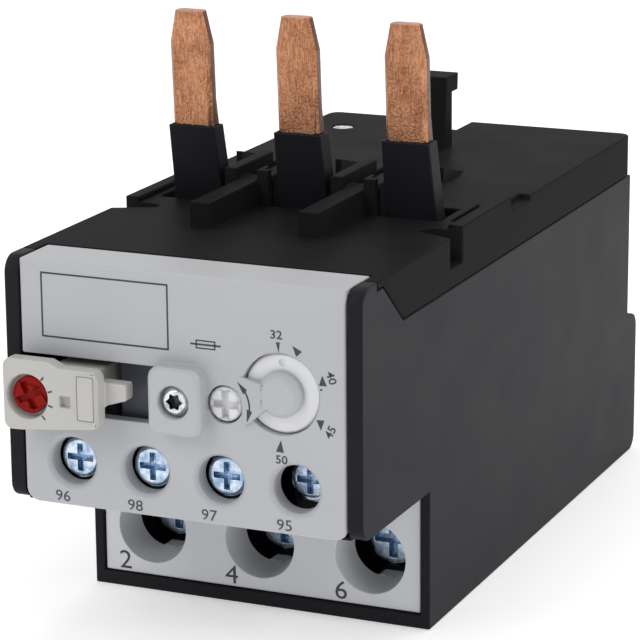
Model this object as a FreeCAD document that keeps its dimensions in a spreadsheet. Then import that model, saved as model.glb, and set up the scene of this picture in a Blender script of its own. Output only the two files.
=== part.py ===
"""Three-pole thermal overload relay, as an assembly of separate pieces.

Frame: +X across the poles, +Y from the front cover to the back, +Z up. The origin is
in the middle of the footprint, on the plane that the lower block stands on. All sizes
are in millimetres. Depths written as "behind the face" run back from the flat face of
the front cover, which stands at Y = FACE.
"""
import FreeCAD, Part
import math
import os
import Sketcher

# ---------------------------------------------------------------- driving sizes

doc = FreeCAD.newDocument("ThermalOverloadRelay")
sheet = doc.addObject("Spreadsheet::Sheet", "Sizes")


class Dim:
    """A size with its value now and the spreadsheet expression that it comes from."""

    def __init__(self, value, text):
        self.value = value
        self.text = text

    @staticmethod
    def of(other):
        return other if isinstance(other, Dim) else Dim(float(other), repr(float(other)))

    def _with(self, other, sign, result):
        return Dim(result, "(%s %s %s)" % (self.text, sign, other.text))

    def __add__(self, other):
        other = Dim.of(other)
        return self._with(other, "+", self.value + other.value)

    def __sub__(self, other):
        other = Dim.of(other)
        return self._with(other, "-", self.value - other.value)

    def __mul__(self, other):
        other = Dim.of(other)
        return self._with(other, "*", self.value * other.value)

    def __truediv__(self, other):
        other = Dim.of(other)
        return self._with(other, "/", self.value / other.value)

    def __radd__(self, other):
        return Dim.of(other) + self

    def __rsub__(self, other):
        return Dim.of(other) - self

    def __rmul__(self, other):
        return Dim.of(other) * self

    def __neg__(self):
        return Dim(-self.value, "(0 - %s)" % self.text)


def root(dim):
    """The square root of a size."""
    return Dim(dim.value ** 0.5, "sqrt(%s)" % dim.text)


def polar(radius, degrees):
    """The two offsets of a point at a radius and a fixed angle."""
    angle = math.radians(degrees)
    return radius * round(math.cos(angle), 9), radius * round(math.sin(angle), 9)


SIZES = {
    # casing
    "body_width": 56.0,
    "body_depth": 120.0,         # cover face to the upper rear face
    "foot_depth": 5.0,           # rear foot beyond the upper rear face
    "foot_height": 25.0,
    "lower_front": 25.5,         # front of the lower block, behind the face
    "overhang_height": 21.6,     # underside of the front box
    "overhang_floor": 2.2,
    "cap_tall": 7.8,             # deck down to the joint of housing and cap
    "shoulder_drop": 1.3,        # deck to the sloped front end of that joint
    "shoulder_front": 7.7,
    "shoulder_run": 7.5,
    "deck_height": 58.3,         # front half of the cap
    "deck_step": 0.6,            # the rear deck stands lower
    "rear_deck_start": 57.0,
    "side_wall": 2.35,
    "rear_wall": 2.6,
    "bottom_wall": 2.3,
    "deck_wall": 2.2,
    "joint_gap": 0.15,
    "corner_round": 2.6,
    "cap_screw_x": -20.8,
    "cap_screw_margin": 12.2,
    "rear_notch": 7.6,
    # front cover
    "cover_sill": 0.5,           # cover above the underside of the front box
    "cover_apron": 0.45,
    "cover_corner": 2.0,
    "cover_shy": 0.1,            # cover below the deck
    "cover_wall": 2.0,
    "ledge_depth": 8.85,
    "cover_flange": 1.3,
    # poles
    "blade_pitch": 17.7,
    "blade_width": 6.7,
    "blade_thick": 2.5,
    "blade_front": 41.7,         # front of the blade at the sleeve's rim
    "blade_reach": 17.9,         # tip above the sleeve's rim
    "blade_taper": 4.9,
    "blade_tip_inset": 1.05,
    "blade_lean": 0.062,
    "blade_bevel": 0.6,
    "sleeve_rise": 12.1,         # rim above the deck
    "sleeve_lean": 0.21,
    "sleeve_wall": 0.5,
    "sleeve_root": 2.5,          # foot above the joint of housing and cap
    "sleeve_flare": 0.45,        # how much wider each side is at the foot
    "bar_width": 9.0,
    "bar_drop": 2.5,             # bar below that joint
    "chamber_back": 2.3,         # chamber behind the blade's front
    "chamber_wall": 1.5,
    "chamber_partition": 2.5,
    "chamber_floor": 4.0,
    "partition": 2.0,
    "strip_rise": 4.2,           # strips above the tray
    "strip_width": 5.0,
    "strip_thick": 1.0,
    "strip_overlap": 2.0,        # strips' tips behind the front of the slide
    "root_margin": 12.0,
    "coil_half_width": 3.4,
    "coil_half_height": 4.4,
    "coil_tail": 7.2,
    "coil_turns": 7.0,
    "coil_lead": 3.0,
    "ribbon_width": 2.4,
    "ribbon_thick": 0.5,
    # load terminals
    "load_pitch": 18.2,
    "plate_half": 26.3,
    "plate_bottom": 2.3,
    "plate_wall": 2.0,
    "plate_recess": 0.5,
    "port_radius": 5.7,
    "port_offset": 1.6,          # ports' centre line below half the lower block's height
    "port_depth": 6.0,
    "port_throat": 4.9,
    "port_rim": 0.9,
    "load_head_radius": 4.4,
    "load_sink": 9.7,            # screw heads behind the lower block's front
    "head_gap": 0.4,
    "load_head_thick": 2.6,
    "load_shank_radius": 2.4,
    "load_screw_length": 7.0,
    "clamp_width": 12.0,
    "clamp_height": 9.0,
    "clamp_depth": 11.6,
    "clamp_wall": 1.6,
    "bar_back": 7.4,             # load bar behind the clamp's front
    "load_bar_thick": 2.4,
    "load_bar_foot": 4.0,
    "riser_drop": 4.6,           # top of the bar's rear run below the front box
    "riser_run": 8.5,
    "entry_width": 9.4,
    "entry_back": 1.8,
    "ceiling_wall": 2.0,
    "plate_room": 2.7,
    "bar_room": 4.4,
    # auxiliary terminals
    "aux_pitch": 11.8,
    "aux_side_room": 3.4,
    "aux_rise": 6.3,             # ports above the cover's bottom
    "aux_tube": 0.6,
    "aux_tube_length": 1.1,      # short, so that a wire passes below
    "aux_radius": 3.55,
    "aux_bevel": 0.65,
    "aux_head_radius": 3.1,
    "aux_head_thick": 2.2,
    "aux_shank_radius": 1.6,
    "aux_head_front": 2.4,
    "aux_deep_head_front": 5.2,
    "aux_plate_front": 9.4,
    "aux_plate_thick": 1.2,
    "aux_clamp_thick": 1.1,
    "aux_entry_width": 6.0,
    # boss over the cover screw
    "boss_x": 0.2,
    "panel_rise": 11.7,          # boss above the ports
    "boss_width": 8.3,
    "boss_tall": 10.0,
    "boss_proud": 3.0,
    "cover_head_radius": 2.1,
    "cover_screw_length": 12.5,
    # setting dial
    "dial_x": 15.6,
    "dial_rise": 2.15,           # dial above the boss
    "dial_radius": 5.85,
    "dial_sink": 0.7,
    "dial_wall": 1.6,
    "hub_radius": 3.35,
    "hub_proud": 1.3,
    "turn_gap": 0.12,
    "setting_x": 6.9,
    "setting_drop": 0.3,
    "setting_gap": 0.25,
    "setting_radius": 2.55,
    "gear_wall": 1.8,
    "gear_front": 3.0,
    "dial_teeth": 24.0,
    "setting_teeth": 16.0,
    "shaft_radius": 1.5,
    "shaft_gap": 0.06,
    "bearing_front": 6.6,
    "bearing_wall": 2.0,
    "cam_radius": 2.2,
    "cam_throw": 0.5,
    # reset key
    "key_proud": 5.5,
    "key_wall": 2.8,
    "key_left": -25.9,
    "key_right": -10.6,
    "key_lip": 0.35,
    "stem_x": -16.3,
    "stem_width": 7.8,
    "stem_below": 3.1,
    "stem_above": 2.9,
    "stem_rear": 10.0,
    "spring_reach": 3.3,
    "spring_leaf": 0.4,
    "spring_tall": 4.2,
    "spring_rear": 18.0,
    "key_travel": 2.4,
    "slot_below": 4.4,
    "slot_above": 4.1,
    "slot_right": -4.1,
    "selector_x": -22.0,
    "selector_drop": 0.9,
    "selector_radius": 2.75,
    "selector_well": 3.3,
    "well_share": 0.72,
    # mechanism
    "tray_rise": 3.4,            # tray above the ports' centre line
    "tray_wall": 1.4,
    "tray_front": 11.2,
    "tray_margin": 2.6,
    "slide_travel": 2.0,
    "slide_margin": 4.8,
    "slide_thick": 3.0,
    "slide_tall": 8.6,
    "pin_radius": 1.0,
    "pin_gap": 0.06,
    "lever_x": 21.4,
    "lever_pin": 23.5,
    "lever_front": 14.0,
    "lever_wall": 1.2,
    "rocker_x": 6.0,
    "rocker_pin": 24.5,
    "rocker_front": 15.6,
    "rocker_wall": 2.0,
    # latch on the cap
    "hook_margin": 26.0,
    "hook_width": 6.6,
    "hook_rise": 11.7,
}

ROWS = {}
for row, (alias, number) in enumerate(SIZES.items(), start=1):
    sheet.set("A%d" % row, alias)
    sheet.set("B%d" % row, str(number))
    sheet.setAlias("B%d" % row, alias)
    ROWS[alias] = Dim(number, "Sizes.%s" % alias)
doc.recompute()


def size(alias):
    """The size with this alias."""
    return ROWS[alias]


def link(alias, amount):
    """Name a size that follows from others."""
    ROWS[alias] = Dim.of(amount)


W = size("body_width")
HALF = W / 2
# places across the body keep their share of its width
SPREAD = W / 56.0
for alias in ("blade_pitch", "load_pitch", "plate_half", "aux_pitch", "boss_x", "dial_x",
              "setting_x", "key_left", "key_right", "stem_x", "slot_right", "selector_x",
              "lever_x", "rocker_x", "cap_screw_x"):
    link(alias, size(alias) * SPREAD)
# heights, from the front box's underside up and from the deck down
link("cover_bottom", size("overhang_height") + size("cover_sill"))
link("aux_height", size("cover_bottom") + size("aux_rise"))
link("tray_height", size("aux_height") + size("tray_rise"))
link("strip_height", size("tray_height") + size("strip_rise"))
link("boss_height", size("aux_height") + size("panel_rise"))
link("dial_height", size("boss_height") + size("dial_rise"))
link("setting_height", size("boss_height") - size("setting_drop"))
link("selector_height", size("boss_height") - size("selector_drop"))
link("slot_bottom", size("boss_height") - size("slot_below"))
link("slot_top", size("boss_height") + size("slot_above"))
link("stem_bottom", size("boss_height") - size("stem_below"))
link("stem_top", size("boss_height") + size("stem_above"))
link("port_height", (size("overhang_height") - size("port_offset")) / 2)
link("terminal_ceiling", size("overhang_height") - size("ceiling_wall"))
link("load_riser", size("overhang_height") - size("riser_drop"))
link("cover_top", size("deck_height") - size("cover_shy"))
link("rear_deck_height", size("deck_height") - size("deck_step"))
link("shoulder_height", size("deck_height") - size("shoulder_drop"))
link("seam_height", size("deck_height") - size("cap_tall"))
link("bar_height", size("seam_height") - size("bar_drop"))
link("sleeve_foot", size("seam_height") + size("sleeve_root"))
link("sleeve_rim", size("deck_height") + size("sleeve_rise"))
link("blade_tip", size("sleeve_rim") + size("blade_reach"))
link("blade_shoulder", size("blade_tip") - size("blade_taper"))
link("hook_top", size("deck_height") + size("hook_rise"))
# depths, from the front of each block back
link("shoulder_rear", size("shoulder_front") + size("shoulder_run"))
link("load_head_front", size("lower_front") + size("load_sink"))
link("clamp_front", size("load_head_front") + size("load_head_thick") + size("head_gap"))
link("load_bar_front", size("clamp_front") + size("bar_back"))
link("entry_front", size("clamp_front") + size("entry_back"))
link("terminal_front", size("lower_front") + size("plate_room"))
link("terminal_rear", size("load_bar_front") + size("bar_room"))
link("chamber_low_front", size("terminal_rear") + size("chamber_wall"))
link("riser_rear", size("chamber_low_front") + size("riser_run"))
link("coil_start", size("riser_rear") + size("coil_lead"))
link("chamber_front", size("blade_front") + size("chamber_back"))
link("tray_rear", size("chamber_front") - size("tray_margin"))
link("slide_front", size("tray_rear") - size("slide_margin"))
link("strip_tip", size("slide_front") + size("strip_overlap"))
link("strip_root", size("body_depth") - size("root_margin"))
link("coil_pitch", (size("strip_root") - size("coil_start") - size("coil_tail"))
     / size("coil_turns"))
link("hook_front", size("body_depth") - size("hook_margin"))
link("cap_screw_y", size("body_depth") - size("cap_screw_margin"))
link("chamber_width", size("blade_pitch") - size("chamber_partition"))
TOTAL_DEPTH = size("body_depth") + size("foot_depth")
FACE = (size("key_proud") - TOTAL_DEPTH) / 2
INNER = HALF - size("side_wall")
GAP = size("joint_gap")


def behind(depth):
    """Y of a plane this far behind the cover's face."""
    return FACE + depth


# ---------------------------------------------------------------- building blocks

NODES = {}


def bind(thing, prop, amount):
    """Tie a property to a size."""
    amount = Dim.of(amount)
    thing.setExpression(prop, amount.text)


def place(thing, x, y, z, axis=None, degrees=0.0):
    """Put an object at a place worked out from the sizes, turned about an axis."""
    x, y, z = Dim.of(x), Dim.of(y), Dim.of(z)
    turn = FreeCAD.Rotation(FreeCAD.Vector(*(axis or (0, 0, 1))), degrees)
    thing.Placement = FreeCAD.Placement(FreeCAD.Vector(x.value, y.value, z.value), turn)
    bind(thing, "Placement.Base.x", x)
    bind(thing, "Placement.Base.y", y)
    bind(thing, "Placement.Base.z", z)


def box(x0, x1, y0, y1, z0, z1):
    """A block between two corners."""
    block = doc.addObject("Part::Box", "Block")
    bind(block, "Length", Dim.of(x1) - x0)
    bind(block, "Width", Dim.of(y1) - y0)
    bind(block, "Height", Dim.of(z1) - z0)
    place(block, x0, y0, z0)
    return block


def block_at(x, width, y0, y1, z0, z1):
    """A block centred on x."""
    x = Dim.of(x)
    half = Dim.of(width) / 2
    return box(x - half, x + half, y0, y1, z0, z1)


FACING = {"x": ((0, 1, 0), 90.0), "y": ((1, 0, 0), -90.0), "z": ((0, 0, 1), 0.0)}


def rod(radius, x, y, z, length, along="y"):
    """A cylinder that starts at a point and runs in the +along direction."""
    shaft = doc.addObject("Part::Cylinder", "Rod")
    bind(shaft, "Radius", radius)
    bind(shaft, "Height", length)
    axis, degrees = FACING[along]
    place(shaft, x, y, z, axis, degrees)
    return shaft


def cone(radius_a, radius_b, x, y, z, length, along="y"):
    """A cone frustum from radius_a at a point to radius_b at length along the axis."""
    shape = doc.addObject("Part::Cone", "Cone")
    bind(shape, "Radius1", radius_a)
    bind(shape, "Radius2", radius_b)
    bind(shape, "Height", length)
    axis, degrees = FACING[along]
    place(shape, x, y, z, axis, degrees)
    return shape


def join(*parts):
    """One solid from several."""
    if len(parts) == 1:
        return parts[0]
    whole = doc.addObject("Part::MultiFuse", "Joined")
    whole.Shapes = list(parts)
    whole.Refine = True
    return whole


def cut(base, *tools):
    """What is left of base without the tools."""
    rest = doc.addObject("Part::Cut", "Cut")
    rest.Base = base
    rest.Tool = join(*tools)
    rest.Refine = True
    return rest


def common(base, tool):
    """What base and tool share."""
    shared = doc.addObject("Part::Common", "Shared")
    shared.Base = base
    shared.Tool = tool
    return shared


def rounded(base, radius, picks):
    """Round the edges of base that picks(edge) chooses."""
    doc.recompute()
    soft = doc.addObject("Part::Fillet", "Rounded")
    soft.Base = base
    amount = Dim.of(radius).value
    chosen = [i for i, edge in enumerate(base.Shape.Edges, start=1) if picks(edge)]
    soft.Edges = [(i, amount, amount) for i in chosen]
    return soft


def runs(edge, direction):
    """Whether a straight edge runs along X, Y or Z."""
    if len(edge.Vertexes) != 2 or edge.Curve.TypeId != "Part::GeomLine":
        return False
    way = edge.Vertexes[1].Point - edge.Vertexes[0].Point
    parts = {"x": abs(way.x), "y": abs(way.y), "z": abs(way.z)}
    return parts[direction] > 0.999 * way.Length


def near(value, dim, slack=0.02):
    """Whether a coordinate is at a size."""
    return abs(value - Dim.of(dim).value) < slack


def finish(name, shape):
    """Register a finished sub-part under its node name."""
    shape.Label = name
    NODES[name] = shape
    return shape


# Sketch planes: which role in the body's origin, and how far the offset points.
PLANES = {"XY": ("XY_Plane", 1.0), "XZ": ("XZ_Plane", -1.0), "YZ": ("YZ_Plane", 1.0)}


def body(name):
    """An empty body."""
    return doc.addObject("PartDesign::Body", name)


def sketch(owner, plane, offset, outlines=(), circles=(), origin=None):
    """A sketch of closed polygons and circles, each point tied to the sheet.

    On plane XY the points are (x, y), on XZ (x, z) and on YZ (y, z). The offset is the
    place of the plane along its remaining axis. An origin moves the sketch's own zero
    in its plane, and the points are then counted from it.
    """
    drawing = owner.newObject("Sketcher::SketchObject", "Sketch")
    role, sense = PLANES[plane]
    base = [f for f in owner.Origin.OriginFeatures if f.Role == role][0]
    drawing.AttachmentSupport = [(base, "")]
    drawing.MapMode = "FlatFace"
    bind(drawing, "AttachmentOffset.Base.z", Dim.of(offset) * sense)
    if origin:
        bind(drawing, "AttachmentOffset.Base.x", origin[0])
        bind(drawing, "AttachmentOffset.Base.y", origin[1])
    for outline in outlines:
        points = [(Dim.of(a), Dim.of(b)) for a, b in outline]
        places = [FreeCAD.Vector(a.value, b.value, 0) for a, b in points]
        first = drawing.GeometryCount
        for start, end in zip(places, places[1:] + places[:1]):
            drawing.addGeometry(Part.LineSegment(start, end), False)
        count = len(points)
        for i in range(count):
            after = first + (i + 1) % count
            drawing.addConstraint(Sketcher.Constraint("Coincident", first + i, 2, after, 1))
        for i, (a, b) in enumerate(points):
            for kind, amount in (("DistanceX", a), ("DistanceY", b)):
                pin_point(drawing, kind, first + i, 1, amount)
    for a, b, radius in circles:
        a, b, radius = Dim.of(a), Dim.of(b), Dim.of(radius)
        centre = FreeCAD.Vector(a.value, b.value, 0)
        circle = Part.Circle(centre, FreeCAD.Vector(0, 0, 1), radius.value)
        index = drawing.addGeometry(circle, False)
        pin_point(drawing, "DistanceX", index, 3, a)
        pin_point(drawing, "DistanceY", index, 3, b)
        ring = drawing.addConstraint(Sketcher.Constraint("Radius", index, radius.value))
        drawing.setExpression("Constraints[%d]" % ring, radius.text)
    return drawing


def pin_point(drawing, kind, index, end, amount):
    """Fix one coordinate of a sketch point."""
    rule = Sketcher.Constraint(kind, -1, 1, index, end, amount.value)
    number = drawing.addConstraint(rule)
    drawing.setExpression("Constraints[%d]" % number, amount.text)


def pad(owner, drawing, length, reverse=False):
    """Extrude a sketch: XY to +Z, YZ to +X, XZ to -Y, or the other way if reversed."""
    solid = owner.newObject("PartDesign::Pad", "Pad")
    solid.Profile = drawing
    bind(solid, "Length", length)
    solid.Reversed = reverse
    owner.Tip = solid
    return solid


def pocket(owner, drawing, length, reverse=False):
    """Cut a sketch away: XY to -Z, YZ to -X, XZ to +Y, or the other way if reversed."""
    hole = owner.newObject("PartDesign::Pocket", "Pocket")
    hole.Profile = drawing
    bind(hole, "Length", length)
    hole.Reversed = reverse
    owner.Tip = hole
    return hole


def soften(owner, radius, picks, kind="PartDesign::Fillet"):
    """Round or bevel the edges of the body's last feature that picks(edge) chooses."""
    doc.recompute()
    last = owner.Tip
    chosen = ["Edge%d" % i for i, e in enumerate(last.Shape.Edges, start=1) if picks(e)]
    dressed = owner.newObject(kind, "Dressed")
    dressed.Base = (last, chosen)
    bind(dressed, "Radius" if kind.endswith("Fillet") else "Size", radius)
    owner.Tip = dressed
    return dressed


def rect(a0, a1, b0, b1):
    """A rectangle's corners."""
    return [(a0, b0), (a1, b0), (a1, b1), (a0, b1)]


def mid(edge):
    """The middle of an edge."""
    return edge.valueAt((edge.FirstParameter + edge.LastParameter) / 2)


POLES = (-1, 0, 1)
AUX = (-1.5, -0.5, 0.5, 1.5)
OPEN_TOP = size("deck_height") + 5


# ---------------------------------------------------------------- base housing

def make_base_housing():
    """The lower moulding: front box, terminal block and pole chambers in one piece."""
    shell = body("base_housing")
    back = behind(size("body_depth"))
    foot = back + size("foot_depth")
    low = behind(size("lower_front"))
    seam = size("seam_height")
    post = behind(size("shoulder_front") - 2.2)
    side = [
        (FACE, size("overhang_height")),
        (low, size("overhang_height")),
        (low, 0),
        (foot, 0),
        (foot, size("foot_height")),
        (back, size("foot_height")),
        (back, seam),
        (behind(size("shoulder_rear")), seam),
        (behind(size("shoulder_front")), size("shoulder_height")),
        (post, size("shoulder_height")),
        (post, size("deck_height")),
        (FACE, size("deck_height")),
    ]
    pad(shell, sketch(shell, "YZ", -HALF, [side]), W)
    soften(shell, size("corner_round"), housing_corner)
    tall = size("overhang_height") + size("overhang_floor")
    mech = rect(-INNER, INNER, tall, OPEN_TOP)
    depth = size("chamber_front") - size("partition") - size("cover_wall")
    pocket(shell, sketch(shell, "XZ", behind(size("cover_wall")), [mech]), depth)
    opening = cover_outline(INNER, size("overhang_height") - 1, OPEN_TOP,
                            size("cover_corner") + GAP)
    pocket(shell, sketch(shell, "XZ", FACE - 1, [opening]), size("cover_wall") + 1.2)
    lip = box(-INNER, INNER, FACE + 1.2, behind(4.0), size("overhang_height"),
              size("cover_bottom") - 0.1)
    tools = []
    rear = size("body_depth") - size("rear_wall")
    low_front = behind(size("chamber_low_front"))
    bar_shelf = size("bar_height") - 0.1
    tail_rear = behind(size("strip_root") + size("blade_thick") + 0.2)
    bar_low = size("load_riser") - size("load_bar_thick")
    for pole in POLES:
        x = size("blade_pitch") * pole
        wide = size("chamber_width")
        tools.append(block_at(x, wide, low_front, tail_rear, size("chamber_floor"),
                              seam + 1))
        tools.append(block_at(x, wide, behind(size("chamber_front")), behind(rear),
                              bar_shelf, seam + 1))
        tools.append(block_at(x, 8.0, behind(size("strip_tip")), low_front + 1,
                              size("strip_height") - 4, size("strip_height") + 4))
        x = size("load_pitch") * pole
        tools.append(block_at(x, size("clamp_width") + 2.4, behind(size("terminal_front")) - 3,
                              behind(size("terminal_rear")), size("plate_bottom"),
                              size("terminal_ceiling")))
        tools.append(block_at(x, size("entry_width"), behind(size("entry_front")),
                              behind(size("load_bar_front")), -1, size("plate_bottom") + 1))
        tools.append(block_at(x, size("bar_width") + 0.3, behind(size("terminal_rear") - 1),
                              low_front + 1, bar_low, size("load_riser") + 0.2))
    tools.append(box(-size("plate_half") - GAP, size("plate_half") + GAP, low - 1,
                     behind(size("terminal_front")), size("plate_bottom") - GAP,
                     size("overhang_height")))
    for slot in AUX:
        tools.append(block_at(size("aux_pitch") * slot, size("aux_entry_width"),
                              behind(3.2), behind(size("aux_plate_front")),
                              size("overhang_height") - 1, tall + 1))
    finish("base_housing", cut(join(shell, lip), *tools))


def housing_corner(edge):
    """The crosswise outer corners of the front box and of the foot."""
    if not runs(edge, "x"):
        return False
    here = mid(edge)
    front_box = near(here.y, FACE) and (near(here.z, size("overhang_height"))
                                        or near(here.z, size("deck_height")))
    foot = behind(TOTAL_DEPTH)
    heel = near(here.y, foot) and (near(here.z, 0) or near(here.z, size("foot_height")))
    return front_box or heel


def cover_outline(reach, low, top, radius):
    """A front view with two square corners at the top and two round ones below."""
    points = [(-reach, top)]
    for side in (-1, 1):
        for step in range(5):
            angle = 22.5 * (step if side < 0 else 4 - step)
            across, down = polar(radius, angle)
            points.append(((reach - radius + across) * side, low + radius - down))
    return points + [(reach, top)]


# ---------------------------------------------------------------- top cap

def make_top_cap():
    """The lid: deck, skirt, raised rails, ribs and collars between poles, and latch."""
    lid = body("top_cap_shell")
    back = behind(size("body_depth"))
    seam = size("seam_height") + GAP
    start = behind(size("shoulder_front") - 2.2) + GAP
    step = behind(size("rear_deck_start"))
    side = [
        (start, size("shoulder_height") + GAP),
        (behind(size("shoulder_front")) + 0.1, size("shoulder_height") + GAP),
        (behind(size("shoulder_rear")) + 0.1, seam),
        (back, seam),
        (back, size("rear_deck_height")),
        (step, size("rear_deck_height")),
        (step, size("deck_height")),
        (start, size("deck_height")),
    ]
    pad(lid, sketch(lid, "YZ", -HALF, [side]), W)
    under = size("rear_deck_height") - size("deck_wall")
    inside = rect(-INNER, INNER, size("seam_height") - 5, under)
    room = size("body_depth") - size("rear_wall")
    pocket(lid, sketch(lid, "XZ", FACE, [inside]), room)
    ledge = rect(-INNER - GAP, INNER + GAP, size("seam_height"), OPEN_TOP)
    pocket(lid, sketch(lid, "XZ", FACE, [ledge]), size("ledge_depth") + GAP)
    soften(lid, 2.0, cap_corner)

    adds = []
    cuts = []
    deck = size("deck_height")
    rail_top = deck + 0.8
    for sign in (-1, 1):
        wall = (HALF - size("side_wall")) * sign
        outer = HALF * sign
        adds.append(box(min_dim(wall, outer), max_dim(wall, outer), behind(38.6),
                        behind(59.6), under, rail_top))
        # finger slots beside each rail, and the catch notch in front of it
        inner = (HALF - 4.2) * sign
        slit = (HALF - 3.4) * sign
        cuts.append(box(min_dim(inner, slit), max_dim(inner, slit), behind(44.2),
                        behind(58.0), deck - 1.4, rail_top + 1))
        reach = (HALF + 1) * sign
        lining = (HALF - 7.6) * sign
        adds.append(box(min_dim(lining, wall), max_dim(lining, wall), behind(32.0),
                        behind(40.2), deck - 6.0, under))
        cuts.append(catch_notch(sign, deck))
        cuts.append(box(min_dim((HALF - 1.9) * sign, reach), max_dim((HALF - 1.9) * sign, reach),
                        behind(60.2), behind(68.4), size("rear_deck_height") - 0.9,
                        rail_top + 1))
    rib = size("blade_pitch") / 2
    for sign in (-1, 1):
        x = rib * sign
        adds.append(block_at(x, 3.3, behind(25.4), behind(46.0), under, deck + 4.1))
        adds.append(block_at(x, 7.6, behind(43.4), behind(60.5), under, deck + 4.1))
        for post, length in ((-2.8, 14.0), (2.6, 3.4)):
            adds.append(block_at(x + post, 2.0, behind(42.2), behind(42.2) + length, under,
                                 deck + 5.8))
        cuts.append(block_at(x - 1.1, 1.4, behind(46.6), behind(58.2), deck + 1.2, deck + 8))
    for pole in POLES:
        x = size("blade_pitch") * pole
        reach = size("blade_width") / 2 + size("sleeve_wall") + size("sleeve_flare") + 0.3
        foot_y = sleeve_front(size("deck_height"))
        pit = size("blade_thick") + 2 * size("sleeve_wall") + 5.0
        cuts.append(box(x - reach - 1.9, x + reach, behind(foot_y - 0.15),
                        behind(foot_y + pit), under - 1, deck + 9))
        adds.append(gusset(x - 6.2, size("rear_deck_height")))
    hook_x0 = -size("hook_width") / 2
    hook = body("hook")
    front = behind(size("hook_front"))
    roof = size("hook_top")
    outline = [
        (front, under), (front + 4.4, under), (front + 4.4, roof - 2.9),
        (front + 7.0, roof - 2.9), (front + 7.2, roof), (front + 1.6, roof),
        (front + 1.6, roof - 2.0),
    ]
    pad(hook, sketch(hook, "YZ", hook_x0, [outline]), size("hook_width"))
    adds.append(hook)
    # rear notch beside the latch, and the well of the cap screw
    cuts.append(box(-13.0, -1.4, back - size("rear_notch"), back + 1, seam - 1, OPEN_TOP))
    cuts.append(rod(1.9, size("cap_screw_x"), behind(size("cap_screw_y")),
                    size("rear_deck_height") - 0.9, 5.0, "z"))
    cuts.append(rod(1.2, size("cap_screw_x"), behind(size("cap_screw_y")), seam - 1, 9.0, "z"))
    adds.append(rod(2.6, size("cap_screw_x"), behind(size("cap_screw_y")), seam + 0.3, 6.0, "z"))
    finish("top_cap", cut(join(lid, *adds), *cuts))


def min_dim(a, b):
    """The smaller of two sizes."""
    return a if a.value < b.value else b


def max_dim(a, b):
    """The larger of two sizes."""
    return b if a.value < b.value else a


def cap_corner(edge):
    """The upright rear corners of the cap."""
    here = mid(edge)
    return runs(edge, "z") and near(here.y, behind(size("body_depth"))) \
        and near(abs(here.x), HALF)


def gusset(x, deck):
    """A small triangular fin on the rear deck, behind a sleeve."""
    fin = body("gusset")
    start = behind(size("rear_deck_start") + 14.6)
    outline = [(start, deck - 2), (start + 9.6, deck - 2), (start + 9.6, deck - 0.1),
               (start, deck + 2.4)]
    pad(fin, sketch(fin, "YZ", x - 0.6, [outline]), 1.2)
    return fin


def catch_notch(sign, deck):
    """The slanting notch in a side of the cap, for the catch of a cover."""
    notch = body("catch_notch")
    outer = (HALF + 1) * sign
    inner = (HALF - 6.3) * sign
    plan = [(outer, behind(33.2)), (outer, behind(38.7)), (inner + 0.9 * sign, behind(38.5)),
            (inner, behind(37.9)), (inner, behind(36.4))]
    pad(notch, sketch(notch, "XY", deck - 4.7, [plan]), 7.0)
    return notch


# ---------------------------------------------------------------- front cover

def make_front_cover():
    """The light grey face with its ledge, ports, key slot, screw boss and dial hub."""
    low = size("cover_bottom")
    top = size("cover_top")
    wall = size("cover_wall")
    reach = INNER - GAP
    corner = size("cover_corner")
    skin = body("cover_skin")
    rim = cover_outline(reach, low - size("cover_apron"), top, corner)
    pad(skin, sketch(skin, "XZ", behind(1.0), [rim]), 1.0)
    soften(skin, 0.5, cover_edge)
    core = body("cover_core")
    rim = cover_outline(reach, low, top, corner - size("cover_apron"))
    pad(core, sketch(core, "XZ", behind(wall), [rim]), wall - 0.9)
    ledge = box(-reach, reach, behind(0.9), behind(size("ledge_depth")), top - wall, top)
    flanges = [box(x0, x1, behind(0.9), behind(size("ledge_depth")), size("slot_top") + 2, top)
               for x0, x1 in ((-reach, -reach + size("cover_flange")),
                              (reach - size("cover_flange"), reach))]
    tubes = []
    for slot in AUX:
        tubes.append(rod(size("aux_radius") + size("aux_tube"), size("aux_pitch") * slot,
                         behind(wall - 0.1), size("aux_height"), size("aux_tube_length") + 0.1))
    hub_front = FACE - size("hub_proud")
    radius = size("hub_radius")
    hub_rear = FACE + size("dial_sink") - 0.15
    hub = turned("hub", size("dial_x"), size("dial_height"),
                 [(hub_front, 0), (hub_front, radius - 0.9), (hub_front + 0.9, radius),
                  (hub_rear, radius), (hub_rear, 0)])
    shell = join(skin, core, ledge, *flanges, *tubes, make_boss())
    tools = []
    for slot in AUX:
        x = size("aux_pitch") * slot
        tools.append(rod(size("aux_radius"), x, FACE - 1, size("aux_height"), wall + 8))
        tools.append(cone(size("aux_radius") + size("aux_bevel") + 0.2, size("aux_radius"), x,
                          FACE - 0.2, size("aux_height"), size("aux_bevel") + 0.2))
    tools.append(box(-HALF, size("slot_right"), FACE - 1, behind(wall + 1),
                     size("slot_bottom"), size("slot_top")))
    tools.append(rod(size("dial_radius") + size("turn_gap"), size("dial_x"), FACE - 1,
                     size("dial_height"), wall + 2))
    proud = FACE - size("boss_proud")
    tools.append(rod(size("cover_head_radius") + 0.35, size("boss_x"), proud - 1,
                     size("boss_height"), 2.8))
    tools.append(rod(1.6, size("boss_x"), proud, size("boss_height"), 8.0))
    setting = rod(size("setting_radius") + size("setting_gap"), size("setting_x"), FACE - 1,
                  size("setting_height"), wall + 2)
    finish("front_cover", cut(join(cut(shell, *tools), hub, dial_bridge()), setting))


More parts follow.
